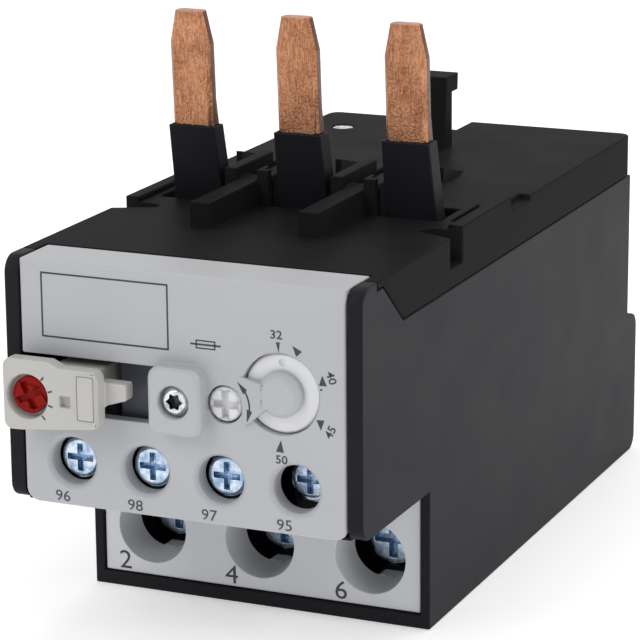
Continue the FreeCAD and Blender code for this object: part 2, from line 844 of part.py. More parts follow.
def make_boss():
    """The rounded block round the cover screw."""
    boss = body("screw_boss")
    half = size("boss_width") / 2
    tall = size("boss_tall") / 2
    radius = Dim.of(1.7)
    outline = []
    for across, up, start in ((1, 1, 0), (-1, 1, 90), (-1, -1, 180), (1, -1, 270)):
        for step in range(4):
            a, b = polar(radius, start + 30 * step)
            outline.append(((half - radius) * across + a, (tall - radius) * up + b))
    pad(boss, sketch(boss, "XZ", behind(1.0), [outline],
                     origin=(size("boss_x"), size("boss_height"))),
        size("boss_proud") + 1.0)
    soften(boss, 0.6, boss_edge, "PartDesign::Chamfer")
    return boss


def dial_bridge():
    """The ramp that carries the hub over the dial ring from the setting screw's side."""
    bridge = body("dial_bridge")
    left = size("dial_x") - size("dial_radius") - 1.2
    near_hub = size("dial_x") - 1.4
    z = size("dial_height")
    fan = [(left + 1.5, z - 5.3), (near_hub, z - 1.9), (near_hub, z + 1.3), (left, z + 2.0)]
    base = size("dial_sink") - 0.15
    proud = size("hub_proud")
    pad(bridge, sketch(bridge, "XZ", behind(base), [fan]), base + proud)
    slope = [(left - 1, FACE - proud - 1), (size("dial_x") - 2.4, FACE - proud - 1),
             (size("dial_x") - 2.4, FACE - proud + 0.1), (left, FACE + 0.1),
             (left - 1, FACE + 0.1)]
    pocket(bridge, sketch(bridge, "XY", z + 6, [slope]), 12.0)
    return bridge


def cover_edge(edge):
    """The front edges of the cover, all round."""
    box_ = edge.BoundBox
    return near(box_.YMin, FACE) and near(box_.YMax, FACE)


def boss_edge(edge):
    """The front edges of the screw boss."""
    return near(edge.BoundBox.YMax, FACE - size("boss_proud"))


# ---------------------------------------------------------------- poles

def sleeve_front(height):
    """Depth behind the face of a sleeve's front at a height."""
    drop = size("sleeve_rim") - height
    return size("blade_front") - size("sleeve_wall") + drop * size("sleeve_lean")


def make_blade(pole, name):
    """A line-side blade: bent strip from the tapered tip to the tail inside."""
    part = body(name)
    x = size("blade_pitch") * pole
    rim = size("sleeve_rim")
    tip = size("blade_tip")
    thick = size("blade_thick")
    at_rim = behind(size("blade_front"))
    at_tip = at_rim - (tip - rim) * size("blade_lean")
    root = size("sleeve_foot")
    at_root = at_rim + (rim - root) * size("sleeve_lean")
    bar = size("bar_height")
    tail = behind(size("strip_root"))
    side = [
        (at_tip, tip), (at_rim, rim), (at_root, root), (at_root, bar), (tail, bar),
        (tail, size("strip_height") - 5.4), (tail + thick, size("strip_height") - 5.4),
        (tail + thick, bar + thick), (at_root + thick, bar + thick),
        (at_root + thick, root), (at_rim + thick, rim), (at_tip + thick, tip),
    ]
    half_bar = size("bar_width") / 2
    half = size("blade_width") / 2
    pad(part, sketch(part, "YZ", x - half_bar, [side]), size("bar_width"))
    inset = half - size("blade_tip_inset")
    flanks = []
    for sign in (-1, 1):
        flanks.append([
            (x + (half_bar + 1) * sign, root - 0.5), (x + half * sign, root - 0.5),
            (x + half * sign, size("blade_shoulder")), (x + inset * sign, tip + 0.1),
            (x + (half_bar + 1) * sign, tip + 0.1),
        ])
    pocket(part, sketch(part, "XZ", behind(size("blade_front") - 6), flanks), 30.0)

    def bevels(edge):
        here = mid(edge)
        front = edge.BoundBox.YLength < 3 and edge.Length > 3
        return here.z > rim.value + 0.5 and front and not runs(edge, "y") \
            and not runs(edge, "x")

    soften(part, size("blade_bevel"), bevels, "PartDesign::Chamfer")
    finish(name, part)


def make_sleeve(pole, name):
    """The insulating sleeve that a blade leaves the cap through."""
    part = body(name)
    x = size("blade_pitch") * pole
    rim = size("sleeve_rim")
    foot = size("sleeve_foot") + 1.6
    wall = size("sleeve_wall")
    deep = size("blade_thick") + 2 * wall
    top_y = behind(sleeve_front(rim))
    foot_y = behind(sleeve_front(foot))
    side = [(top_y, rim), (top_y + deep, rim), (foot_y + deep, foot), (foot_y, foot)]
    widest = size("blade_width") / 2 + wall + size("sleeve_flare")
    pad(part, sketch(part, "YZ", x - widest, [side]), widest * 2)
    half = size("blade_width") / 2 + wall
    trims = [[(x + (half + 2) * sign, rim + 0.1), (x + half * sign, rim + 0.1),
              (x + widest * sign, foot), (x + (half + 2) * sign, foot)]
             for sign in (-1, 1)]
    pocket(part, sketch(part, "XZ", top_y - 1, trims), 12.0)
    lean = size("sleeve_lean")
    gap = Dim.of(0.04)
    hole_y = top_y + wall - gap
    run = rim + 1 - (foot - 1)
    hole = [(hole_y - lean, rim + 1), (hole_y - lean + size("blade_thick") + gap * 2, rim + 1),
            (hole_y - lean + size("blade_thick") + gap * 2 + run * lean, foot - 1),
            (hole_y - lean + run * lean, foot - 1)]
    inner = size("blade_width") / 2 + gap
    pocket(part, sketch(part, "YZ", x - inner, [hole]), inner * 2, reverse=True)
    finish(name, part)


def make_bimetal(pole, name):
    """A bimetal strip: bends sideways as the heater warms it."""
    x = size("blade_pitch") * pole
    half = size("strip_width") / 2
    finish(name, block_at(x, size("strip_thick"), behind(size("strip_tip")),
                          behind(size("strip_root")), size("strip_height") - half,
                          size("strip_height") + half))


def make_heater(pole, name):
    """The heater ribbon folded round a bimetal strip, with a lead at each end.

    Each turn has an upright bar on either side and a slanting bar above and below,
    which carries the winding half a pitch along.
    """
    part = body(name)
    x = size("blade_pitch") * pole
    z = size("strip_height")
    start = behind(size("coil_start"))
    wide = size("ribbon_width")
    thick = size("ribbon_thick")
    half = size("coil_half_width")
    tall = size("coil_half_height")
    step = size("coil_pitch") / 2
    left = sketch(part, "YZ", x - half, [rect(start, start + wide, z - tall, z + tall)])
    bars = [pad(part, left, thick)]
    over = [(x - half, start), (x + half, start + step), (x + half, start + step + wide),
            (x - half, start + wide)]
    bars.append(pad(part, sketch(part, "XY", z + tall - thick, [over]), thick))
    right = sketch(part, "YZ", x + half - thick,
                   [rect(start + step, start + step + wide, z - tall, z + tall)])
    bars.append(pad(part, right, thick))
    under = [(x + half, start + step), (x + half, start + step + wide),
             (x - half, start + step * 2 + wide), (x - half, start + step * 2)]
    last = sketch(part, "XY", z - tall, [under])
    bars.append(pad(part, last, thick))
    winding = part.newObject("PartDesign::LinearPattern", "Winding")
    winding.Originals = bars
    winding.Direction = (last, ["V_Axis"])
    bind(winding, "Length", size("coil_pitch") * (size("coil_turns") - 1))
    bind(winding, "Occurrences", size("coil_turns"))
    part.Tip = winding
    end = start + size("coil_pitch") * size("coil_turns")
    for front, rear in ((behind(size("riser_rear")), start + wide),
                        (end, behind(size("strip_root")))):
        lead = sketch(part, "YZ", x - half, [rect(front, rear, z - tall, z - tall + thick)])
        pad(part, lead, 2.2)
    finish(name, part)


# ---------------------------------------------------------------- load terminals

def make_terminal_plate():
    """The plate that closes the load terminals, with a funnel for each screwdriver."""
    front = behind(size("lower_front") + size("plate_recess"))
    wall = size("plate_wall")
    half = size("plate_half")
    z = size("port_height")
    plate = box(-half, half, front, front + wall, size("plate_bottom"),
                size("overhang_height") - 0.1)
    tubes = []
    bores = []
    guides = []
    for pole in POLES:
        x = size("load_pitch") * pole
        tubes.append(rod(size("port_radius") + size("port_rim"), x, front + 0.1, z,
                         size("port_depth") - 0.1))
        bores.append(cone(size("port_radius"), size("port_throat"), x, front, z,
                          size("port_depth")))
        guides.append(box(x - 1.0, x + 4.6, front + wall, front + size("port_depth") + 2.6,
                          z - size("port_throat") - size("port_rim"),
                          z - size("port_throat") + 0.15))
    finish("terminal_plate", cut(join(plate, *tubes, *guides), *bores))


def make_load_terminal(pole, name):
    """A load bar: the clamp's flat, the run to the back, and the riser to the heater."""
    part = body(name)
    front = behind(size("load_bar_front"))
    thick = size("load_bar_thick")
    top = size("load_riser")
    rear = behind(size("riser_rear"))
    riser = size("strip_height") - size("strip_width") / 2 - 0.6
    foot = size("load_bar_foot")
    side = [
        (front, foot), (front + thick, foot), (front + thick, top - thick),
        (rear, top - thick), (rear, riser), (rear - thick, riser), (rear - thick, top),
        (front, top),
    ]
    x = size("load_pitch") * pole - size("bar_width") / 2
    pad(part, sketch(part, "YZ", x, [side]), size("bar_width"))
    finish(name, part)


def make_box_clamp(pole, name):
    """The cage that its screw draws up against the load bar."""
    x = size("load_pitch") * pole
    z = size("port_height")
    half = size("clamp_height") / 2
    front = behind(size("clamp_front"))
    rear = front + size("clamp_depth")
    wall = size("clamp_wall")
    cage = block_at(x, size("clamp_width"), front, rear, z - half, z + half)
    cage = rounded(cage, 0.8, lambda edge: runs(edge, "z"))
    inside = block_at(x, size("bar_width") + 0.2, front + wall, rear - wall, z - half - 1,
                      z + half + 1)
    thread = rod(size("load_shank_radius") + 0.06, x, front - 1, z, wall + 2)
    finish(name, cut(cage, inside, thread))


def turned(name, x, z, profile):
    """A body turned about a line along Y; the profile's points are (y, radius)."""
    part = body(name)
    drawing = sketch(part, "YZ", x, [profile], origin=(0, z))
    spin = part.newObject("PartDesign::Revolution", "Turned")
    spin.Profile = drawing
    spin.ReferenceAxis = (drawing, ["H_Axis"])
    spin.Angle = 360.0
    part.Tip = spin
    return part


def cross_recess(part, x, z, front, reach, slot, depth):
    """Press a cross recess into a screw's head."""
    a = Dim.of(reach)
    b = Dim.of(slot) / 2
    plus = [(b, b), (a, b), (a, -b), (b, -b), (b, -a), (-b, -a), (-b, -b), (-a, -b),
            (-a, b), (-b, b), (-b, a), (b, a)]
    pocket(part, sketch(part, "XZ", front, [plus], origin=(x, z)), depth)


def make_screw(name, x, z, front, head, thick, shank, length, recess):
    """A cheese-head screw along Y, head to the front, with a cross recess."""
    bevel = Dim.of(0.45)
    profile = [(front, 0), (front, head - bevel), (front + bevel, head),
               (front + thick, head), (front + thick, shank), (front + length, shank),
               (front + length, 0)]
    part = turned(name, x, z, profile)
    cross_recess(part, x, z, front, recess, recess * 0.42, thick * 0.62)
    finish(name, part)


def make_load_screw(pole, name):
    """A load terminal's screw."""
    make_screw(name, size("load_pitch") * pole, size("port_height"),
               behind(size("load_head_front")), size("load_head_radius"),
               size("load_head_thick"), size("load_shank_radius"),
               size("load_screw_length"), size("load_head_radius") * 0.68)


# ---------------------------------------------------------------- auxiliary terminals

def aux_head_front(slot):
    """How far back this screw's head stands; the last one is screwed in."""
    return size("aux_deep_head_front" if slot > 1 else "aux_head_front")


def make_aux_screw(slot, name):
    """An auxiliary terminal's screw."""
    front = aux_head_front(slot)
    reach = size("aux_plate_front") + size("aux_plate_thick") + 1.0
    make_screw(name, size("aux_pitch") * slot, size("aux_height"), behind(front),
               size("aux_head_radius"), size("aux_head_thick"), size("aux_shank_radius"),
               reach - front + 0.0, size("aux_head_radius") * 0.66)


def make_aux_terminal(slot, name):
    """An auxiliary terminal: a threaded upright with a foot on the housing's floor."""
    x = size("aux_pitch") * slot
    floor = size("overhang_height") + size("overhang_floor")
    front = behind(size("aux_plate_front"))
    rear = front + size("aux_plate_thick")
    wide = size("aux_pitch") - size("aux_side_room")
    upright = block_at(x, wide, front, rear, floor, size("tray_height") - 0.4)
    foot = block_at(x, wide * 0.6, front, rear + size("aux_plate_front") * 0.75, floor,
                    floor + size("aux_plate_thick"))
    thread = rod(size("aux_shank_radius") + 0.06, x, front - 1, size("aux_height"), 4.0)
    finish(name, cut(join(upright, foot), thread))


def make_aux_clamp(slot, name):
    """The square washer under an auxiliary terminal's screw head."""
    x = size("aux_pitch") * slot
    z = size("aux_height")
    front = behind(aux_head_front(slot) + size("aux_head_thick") + 0.05)
    washer = block_at(x, 6.8, front, front + size("aux_clamp_thick"), z - 3.0, z + 3.0)
    hole = rod(size("aux_shank_radius") + 0.06, x, front - 1, z, 4.0)
    finish(name, cut(washer, hole))


# ---------------------------------------------------------------- small screws

def make_cover_screw():
    """The screw in the boss of the cover, with a six-lobe recess."""
    x = size("boss_x")
    z = size("boss_height")
    front = FACE - size("boss_proud") + 0.45
    head = size("cover_head_radius")
    shank = size("shaft_radius")
    length = size("cover_screw_length")
    profile = [(front, 0), (front, head - 0.5), (front + 0.5, head), (front + 1.3, head),
               (front + 1.3, shank), (front + length, shank), (front + length, 0)]
    part = turned("cover_screw", x, z, profile)
    lobes = []
    for i in range(12):
        radius = head * (0.62 if i % 2 == 0 else 0.42)
        lobes.append(polar(radius, 30 * i))
    pocket(part, sketch(part, "XZ", front, [lobes], origin=(x, z)), 0.9)
    finish("cover_screw", part)


def make_cap_screw():
    """The small slotted screw at the rear of the cap."""
    x = size("cap_screw_x")
    y = behind(size("cap_screw_y"))
    floor = size("rear_deck_height") - 0.9
    head = rod(1.75, x, y, floor, 0.75, "z")
    shank = rod(1.14, x, y, size("seam_height") + 1.0, floor - size("seam_height") - 0.9, "z")
    slot = box(x - 2, x + 2, y - 0.25, y + 0.25, floor + 0.35, floor + 2)
    finish("cap_screw", cut(join(head, shank), slot))


# ---------------------------------------------------------------- mechanism

TRAY_TOP = size("tray_height") + size("tray_wall")


def make_frame():
    """The frame that carries the mechanism: tray, legs, guides, bearings and walls."""
    low = size("tray_height")
    top = TRAY_TOP
    floor = size("overhang_height") + size("overhang_floor")
    side = INNER - 0.5
    front = behind(size("tray_front"))
    bearing = behind(size("bearing_front"))
    bearing_back = bearing + size("bearing_wall")
    slide = behind(size("slide_front"))
    slide_back = slide + size("slide_thick")
    parts = [box(-side, side, front, behind(size("tray_rear")), low, top)]
    for sign in (-1, 1):
        for y0 in (13.0, 30.0):
            x0 = min_dim(side * sign, (side - 2.4) * sign)
            x1 = max_dim(side * sign, (side - 2.4) * sign)
            parts.append(box(x0, x1, behind(y0), behind(y0 + 4.0), floor, low))
    pitch = size("blade_pitch")
    clear = Dim.of(2.9)
    wing = INNER - 1.4
    parts.append(box(-wing, size("lever_x") - 2.4, slide - 1.3, slide - 0.1, top, top + 1.4))
    for x0, x1 in ((-wing, -pitch - clear), (-pitch + clear, -clear), (clear, pitch - clear)):
        parts.append(box(x0, x1, slide_back + 0.1, slide_back + 1.5, top, top + 1.4))
    # bearing wall behind the cover, with a block for the cover screw
    start = size("boss_x") - 2.8
    stop = size("lever_x") - 1.0
    parts.append(box(start, stop, bearing, bearing_back, low, size("dial_height") + 4.1))
    parts.append(box(start, stop, bearing, front + 0.1, low, top))
    parts.append(box(start, size("boss_x") + 2.8, bearing_back, behind(12.6), low,
                     size("boss_height") + 3.1))
    # dark wall seen through the key's slot
    start = size("slot_right") - 6.6
    stop = size("slot_right") - 0.6
    parts.append(box(start, stop, behind(2.6), behind(4.4), low + 1.1, size("slot_top") + 1.8))
    parts.append(box(start, stop, behind(2.6), front, low + 1.1, top + 1.1))
    parts.append(box(start, stop, front - 0.6, front + 0.1, low, top))
    # guide under the key's stem and the wall its spring pushes on
    stem = size("stem_x")
    parts.append(block_at(stem, 7.0, behind(5.0), behind(10.0), low,
                          size("stem_bottom") - 0.05))
    parts.append(block_at(stem, 7.0, behind(5.0), front + 0.1, low, top))
    spring = behind(size("spring_rear"))
    parts.append(block_at(stem, 8.0, spring, spring + 1.6, low, size("stem_top") + 1.0))
    for x, y in ((size("lever_x"), size("lever_pin")), (size("rocker_x"), size("rocker_pin"))):
        parts.append(rod(2.0, x, behind(y), low, size("tray_wall") + 1.5, "z"))
    whole = join(*parts)
    holes = []
    for x, y in ((size("lever_x"), size("lever_pin")), (size("rocker_x"), size("rocker_pin"))):
        holes.append(rod(size("pin_radius") + 0.03, x, behind(y), low - 1, 6.0, "z"))
    holes.append(rod(size("shaft_radius") + size("shaft_gap"), size("boss_x"), bearing - 1,
                     size("boss_height"), 9.0))
    for x, z in ((size("dial_x"), size("dial_height")),
                 (size("setting_x"), size("setting_height"))):
        holes.append(rod(size("shaft_radius") + size("shaft_gap"), x, bearing - 1, z,
                         size("bearing_wall") + 2))
    finish("mechanism_frame", cut(whole, *holes))


def make_pin(name, x, y):
    """A fixed pivot pin standing in the tray."""
    finish(name, rod(size("pin_radius"), x, behind(y), size("tray_height"), 9.6, "z"))


def make_slider():
    """The slide that the bimetal strips push sideways, with a window for each strip."""
    part = body("trip_slider")
    low = TRAY_TOP + 0.05
    high = low + size("slide_tall")
    rear = behind(size("slide_front")) + size("slide_thick")
    right = size("lever_x") - size("lever_wall") / 2 - 0.3
    left = -INNER + 1.4
    pad(part, sketch(part, "XZ", rear, [rect(left, right, low, high)]), size("slide_thick"))
    half = size("strip_thick") / 2
    roof = size("strip_height") + size("strip_width") / 2 + 0.6
    windows = []
    for pole in POLES:
        x = size("blade_pitch") * pole
        windows.append(rect(x - half - size("slide_travel") - 0.3, x + half + 0.3, low - 1,
                            roof))
    pocket(part, sketch(part, "XZ", rear - size("slide_thick") - 1, windows), 6.0)
    finish("trip_slider", part)


def make_lever():
    """The trip lever: a bimetal plate that also allows for the room's temperature."""
    x = size("lever_x")
    pin = behind(size("lever_pin"))
    low = TRAY_TOP + 1.55
    plate = block_at(x, size("lever_wall"), behind(size("tray_front") - 1.2),
                     behind(size("tray_rear") - 1.4), low, low + 5.2)
    hub = rod(2.0, x, pin, low, 5.8, "z")
    hole = rod(size("pin_radius") + size("pin_gap"), x, pin, low - 1, 9.0, "z")
    finish("trip_lever", cut(join(plate, hub), hole))


def make_rocker():
    """The contact rocker: a hub, an arm and a crossbar with a contact on each face."""
    x = size("rocker_x")
    pin = behind(size("rocker_pin"))
    low = TRAY_TOP + 1.55
    wall = size("rocker_wall")
    rear = behind(size("rocker_front"))
    right = size("lever_x") - size("lever_wall") / 2 - 0.35
    bar = box(-9.0, right, rear - wall, rear, low + 0.2, low + 4.0)
    arm = block_at(x, 2.4, rear - 0.5, pin, low + 0.2, low + 4.0)
    hub = rod(2.5, x, pin, low, 5.4, "z")
    studs = rod(0.85, -7.0, rear - wall - 0.25, low + 2.1, wall + 0.5)
    hole = rod(size("pin_radius") + size("pin_gap"), x, pin, low - 1, 9.0, "z")
    finish("contact_rocker", cut(join(bar, arm, hub, studs), hole))


def make_contact(name, x, face, sense):
    """A fixed contact: an upright with a foot on the tray and a stud towards the rocker."""
    low = TRAY_TOP
    stud = Dim.of(0.3)
    thick = Dim.of(0.9)
    if sense > 0:
        start = behind(face) - stud - thick
        upright = block_at(x, 3.4, start, start + thick, low, low + 5.6)
        button = rod(0.85, x, start + thick - 0.1, low + 3.65, stud + 0.1)
        foot = block_at(x, 3.4, start - 0.9, start + 0.1, low, low + 0.8)
    else:
        start = behind(face)
        upright = block_at(x, 3.4, start + stud, start + stud + thick, low, low + 5.6)
        button = rod(0.85, x, start, low + 3.65, stud + 0.1)
        foot = block_at(x, 3.4, start + stud + thick - 0.1, start + stud + thick + 2.4, low,
                        low + 0.8)
    finish(name, join(upright, button, foot))


# ---------------------------------------------------------------- setting dial

CENTRES = root((size("dial_x") - size("setting_x")) * (size("dial_x") - size("setting_x"))
               + (size("dial_height") - size("setting_height"))
               * (size("dial_height") - size("setting_height")))
MODULE = CENTRES * 2 / (size("dial_teeth") + size("setting_teeth"))
# direction from the dial's centre to the setting screw's
LINE = ((size("setting_x") - size("dial_x")) / CENTRES,
        (size("setting_height") - size("dial_height")) / CENTRES)


def add_gear(part, x, z, teeth, way):
    """Add a ring of teeth behind the cover, one tooth pointing the given way."""
    back = behind(size("gear_front") + size("gear_wall"))
    wall = size("gear_wall")
    pitch = MODULE * size(teeth) / 2
    bottom = pitch - MODULE * 1.2
    rim = sketch(part, "XZ", back, circles=[(0, 0, bottom)], origin=(x, z))
    pad(part, rim, wall)
    ex, ez = way
    corners = []
    for radius, half in ((bottom - 0.12, MODULE * 0.98), (pitch, MODULE * 0.66),
                         (pitch + MODULE * 0.92, MODULE * 0.30)):
        corners.append((radius, half))
    left = [(ex * r - ez * h, ez * r + ex * h) for r, h in corners]
    right = [(ex * r + ez * h, ez * r - ex * h) for r, h in reversed(corners)]
    tooth = sketch(part, "XZ", back, [left + right], origin=(x, z))
    first = pad(part, tooth, wall)
    ring = part.newObject("PartDesign::PolarPattern", "Teeth")
    ring.Originals = [first]
    ring.Axis = (tooth, ["N_Axis"])
    ring.Angle = 360.0
    bind(ring, "Occurrences", size(teeth))
    part.Tip = ring


def make_dial():
    """The setting dial: ring in the cover, gear, shaft and the cam on its end."""
    x = size("dial_x")
    z = size("dial_height")
    front = behind(size("dial_sink"))
    gear = behind(size("gear_front"))
    radius = size("dial_radius")
    end = behind(size("bearing_front") + size("bearing_wall") + 0.4)
    shaft = size("shaft_radius")
    profile = [(front, 0), (front, radius - 0.3), (front + 0.3, radius), (gear, radius),
               (gear, shaft), (end + 2.0, shaft), (end + 2.0, 0)]
    part = turned("setting_dial", x, z, profile)
    add_gear(part, x, z, "dial_teeth", LINE)
    dot = sketch(part, "XZ", front, circles=[(0, 4.45, 0.5)], origin=(x, z))
    pocket(part, dot, 0.3)
    cam = sketch(part, "XZ", end + 1.8, circles=[(0, size("cam_throw"), size("cam_radius"))],
                 origin=(x, z))
    pad(part, cam, 1.8)
    finish("setting_dial", part)


def make_setting_screw():
    """The setting screw: its pinion turns the dial."""
    x = size("setting_x")
    z = size("setting_height")
    front = behind(0.15)
    radius = size("setting_radius")
    gear = behind(size("gear_front"))
    shaft = size("shaft_radius")
    end = behind(size("bearing_front") + size("bearing_wall") + 0.3)
    profile = [(front, 0), (front, radius - 0.35), (front + 0.35, radius), (gear, radius),
               (gear, shaft), (end, shaft), (end, 0)]
    part = turned("setting_screw", x, z, profile)
    ex, ez = LINE
    half_step = math.pi / SIZES["setting_teeth"]
    c, s = round(math.cos(half_step), 9), round(math.sin(half_step), 9)
    add_gear(part, x, z, "setting_teeth", (ez * s - ex * c, -(ez * c) - ex * s))
    cross_recess(part, x, z, front, size("setting_radius") * 0.8, 1.15, 1.1)
    finish("setting_screw", part)


# ---------------------------------------------------------------- reset key

def make_key():
    """The reset and test key: plate, raised end, lug and the stem behind."""
    part = body("reset_key")
    back = FACE - size("key_proud") + size("key_wall")
    left = size("key_left")
    right = size("key_right")
    thin = size("key_wall") - size("key_lip")
    z = size("boss_height")
    face = [(left, z - 6.1), (left + 2.9, z - 6.0), (right, z - 4.7), (right, z + 3.8),
            (right - 6.2, z + 3.8), (right - 8.0, z + 4.6), (left, z + 4.6)]
    pad(part, sketch(part, "XZ", back, [face]), thin)

    def corners(edge):
        here = mid(edge)
        outer = near(here.x, left) or near(here.x, right)
        return runs(edge, "y") and outer

    soften(part, 1.3, corners)
    lip = rect(right - 3.2, right - 0.5, z - 3.5, z + 3.1)
    pad(part, sketch(part, "XZ", back - thin + 0.05, [lip]), size("key_lip") + 0.05)
    x = size("selector_x")
    z = size("selector_height")
    well = sketch(part, "XZ", back - thin, circles=[(x, z, size("selector_well"))])
    pocket(part, well, thin * size("well_share"))
    bore = sketch(part, "XZ", back - thin - 1, circles=[(x, z, 1.36)])
    pocket(part, bore, 6.0)
    eye = rect(right - 6.1, right - 4.5, z - 1.0, z + 0.6)
    pocket(part, sketch(part, "XZ", back - thin, [eye]), 1.0)
    stem = size("stem_x")
    half = size("stem_width") / 2
    shank = rect(stem - half, stem + half, size("stem_bottom"), size("stem_top"))
    reach = size("stem_rear") + size("key_proud") - size("key_wall")
    pad(part, sketch(part, "XZ", behind(size("stem_rear")), [shank]), reach + 0.2)
    z = size("boss_height")
    lug = [(right - 1.0, z - 2.0), (right + 3.4, z - 0.6), (right + 3.4, z + 1.8),
           (right - 1.0, z + 1.8)]
    pad(part, sketch(part, "XZ", back + 2.2, [lug]), 2.4)
    finish("reset_key", part)


def make_selector():
    """The red selector: a disc in the key with a raised pointer."""
    x = size("selector_x")
    z = size("selector_height")
    back = FACE - size("key_proud") + size("key_wall")
    thin = size("key_wall") - size("key_lip")
    floor = back - thin + thin * size("well_share")
    front = floor - 0.9
    radius = size("selector_radius")
    profile = [(front, 0), (front, radius), (floor - 0.05, radius), (floor - 0.05, 1.3),
               (back + 0.6, 1.3), (back + 0.6, 0)]
    part = turned("mode_selector", x, z, profile)
    ex, ez = polar(1.0, -17.5)
    arrow = [(ex * along - ez * across, ez * along + ex * across) for along, across in
             ((3.2, 0.0), (1.0, 1.75), (-2.2, 1.3), (-2.2, -1.3), (1.0, -1.75))]
    pad(part, sketch(part, "XZ", front + 0.1, [arrow], origin=(x, z)), 0.45)
    arms = []
    for along, across in ((0.5, 0.5), (2.1, 0.5), (2.1, -0.5), (0.5, -0.5), (0.5, -2.1),
                          (-0.5, -2.1), (-0.5, -0.5), (-2.1, -0.5), (-2.1, 0.5), (-0.5, 0.5),
                          (-0.5, 2.1), (0.5, 2.1)):
        a, b = polar(1.0, 27.5)
        arms.append((a * along - b * across, b * along + a * across))
    pocket(part, sketch(part, "XZ", front - 0.35, [arms], origin=(x, z)), 0.85)
    finish("mode_selector", part)


def make_spring():
    """The reset spring behind the key's stem: a leaf folded once."""
    part = body("reset_spring")
    front = behind(size("stem_rear"))
    rear = behind(size("spring_rear"))
    middle = (front + rear) / 2
    open_end = size("stem_x") + size("spring_reach")
    fold = size("stem_x") - size("spring_reach")
    leaf = size("spring_leaf")
    outline = [(open_end, front), (open_end, front + leaf), (fold + leaf * 3, middle),
               (open_end, rear - leaf), (open_end, rear), (fold, middle + leaf / 2),
               (fold, middle - leaf / 2)]
    low = (size("stem_bottom") + size("stem_top") - size("spring_tall")) / 2
    pad(part, sketch(part, "XY", low, [outline]), size("spring_tall"))
    finish("reset_spring", part)


# ---------------------------------------------------------------- build and export

def check():
    """Stop if any object failed or any sub-part is not one valid shape."""
    doc.recompute()
    for thing in doc.Objects:
        bad = [s for s in thing.State if s in ("Invalid", "Error")]
        if bad:
            raise RuntimeError("%s (%s) failed: %s" % (thing.Label, thing.TypeId, bad))
    for name, thing in NODES.items():
        if thing.Shape.isNull() or not thing.Shape.isValid() or not thing.Shape.Solids:
            raise RuntimeError("%s has no valid shape" % name)


def main():
    """Build every sub-part, check it and write its STEP file."""
    make_base_housing()
    make_top_cap()
    make_front_cover()
    make_terminal_plate()
    for number, pole in enumerate(POLES, start=1):
        for family, make in (("line_blade", make_blade), ("blade_sleeve", make_sleeve),
                             ("bimetal_strip", make_bimetal), ("heater_coil", make_heater),
                             ("load_terminal", make_load_terminal),
                             ("box_clamp", make_box_clamp), ("load_screw", make_load_screw)):
            make(pole, "%s_%d" % (family, number))
    for number, slot in enumerate(AUX, start=1):
        for family, make in (("aux_screw", make_aux_screw), ("aux_terminal", make_aux_terminal),
                             ("aux_clamp", make_aux_clamp)):
            make(slot, "%s_%d" % (family, number))
    make_cover_screw()
    make_cap_screw()
    make_frame()
    make_pin("lever_pin", size("lever_x"), size("lever_pin"))
    make_pin("rocker_pin", size("rocker_x"), size("rocker_pin"))
    make_slider()
    make_lever()
    make_rocker()
    make_contact("opening_contact", -7.0, 13.3, 1)
    make_contact("closing_contact", -8.2, 17.85, -1)
    make_dial()
    make_setting_screw()
    make_key()
    make_selector()
    make_spring()
    check()
    os.makedirs("parts", exist_ok=True)
    for name, thing in NODES.items():
        thing.Shape.exportStep("parts/%s.step" % name)
        print(name, len(thing.Shape.Solids), "%.1f mm3" % thing.Shape.Volume)


main()
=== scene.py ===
"""Looks of a three-pole thermal overload relay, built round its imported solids.

Each sub-assembly is a class that copies its solids, softens their edges and gives them
a finish, and adds the printing and small parts that the solids leave plain.
"""
import logging
import math
from dataclasses import dataclass, field
from enum import Enum
from typing import Callable, Iterable, Sequence

import bmesh
import bpy
from mathutils import Matrix, Vector


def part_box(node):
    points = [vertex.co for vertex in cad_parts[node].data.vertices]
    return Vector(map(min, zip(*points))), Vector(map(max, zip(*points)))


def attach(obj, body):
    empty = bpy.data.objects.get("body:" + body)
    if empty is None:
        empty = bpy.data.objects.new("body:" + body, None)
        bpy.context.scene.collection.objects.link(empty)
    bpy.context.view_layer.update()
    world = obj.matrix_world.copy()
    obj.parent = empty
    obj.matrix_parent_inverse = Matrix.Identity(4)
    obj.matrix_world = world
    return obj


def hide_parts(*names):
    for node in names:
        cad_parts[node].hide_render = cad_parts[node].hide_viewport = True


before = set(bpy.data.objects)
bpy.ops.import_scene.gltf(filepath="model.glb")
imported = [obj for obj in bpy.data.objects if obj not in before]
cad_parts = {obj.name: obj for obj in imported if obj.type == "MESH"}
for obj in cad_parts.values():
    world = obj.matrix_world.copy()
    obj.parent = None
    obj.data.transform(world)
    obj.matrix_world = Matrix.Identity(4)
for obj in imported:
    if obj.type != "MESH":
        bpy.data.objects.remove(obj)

log = logging.getLogger("relay")

MM = 0.001
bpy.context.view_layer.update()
Point = tuple[float, float]
Colour = tuple[float, float, float]
TO_FRONT = Vector((0.0, -1.0, 0.0))
UPWARDS = Vector((0.0, 0.0, 1.0))


# ---------------------------------------------------------------- sizes from the frame

@dataclass(frozen=True)
class Span:
    """The box of a CAD node, in metres."""

    low: Vector
    high: Vector

    @staticmethod
    def of(node: str) -> "Span":
        """The span of a node."""
        return Span(*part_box(node))

    @property
    def middle(self) -> Vector:
        """The middle of the box."""
        return (self.low + self.high) / 2

    @property
    def size(self) -> Vector:
        """The box's three sizes."""
        return self.high - self.low


def srgb(red: int, green: int, blue: int) -> Colour:
    """A colour written in screen values, as the linear values a shader takes.

    Args:
        red, green, blue: screen values from 0 to 255.

    Returns:
        The same colour in linear light.
    """
    def linear(value: int) -> float:
        share = value / 255
        return share / 12.92 if share <= 0.04045 else ((share + 0.055) / 1.055) ** 2.4
    return (linear(red), linear(green), linear(blue))


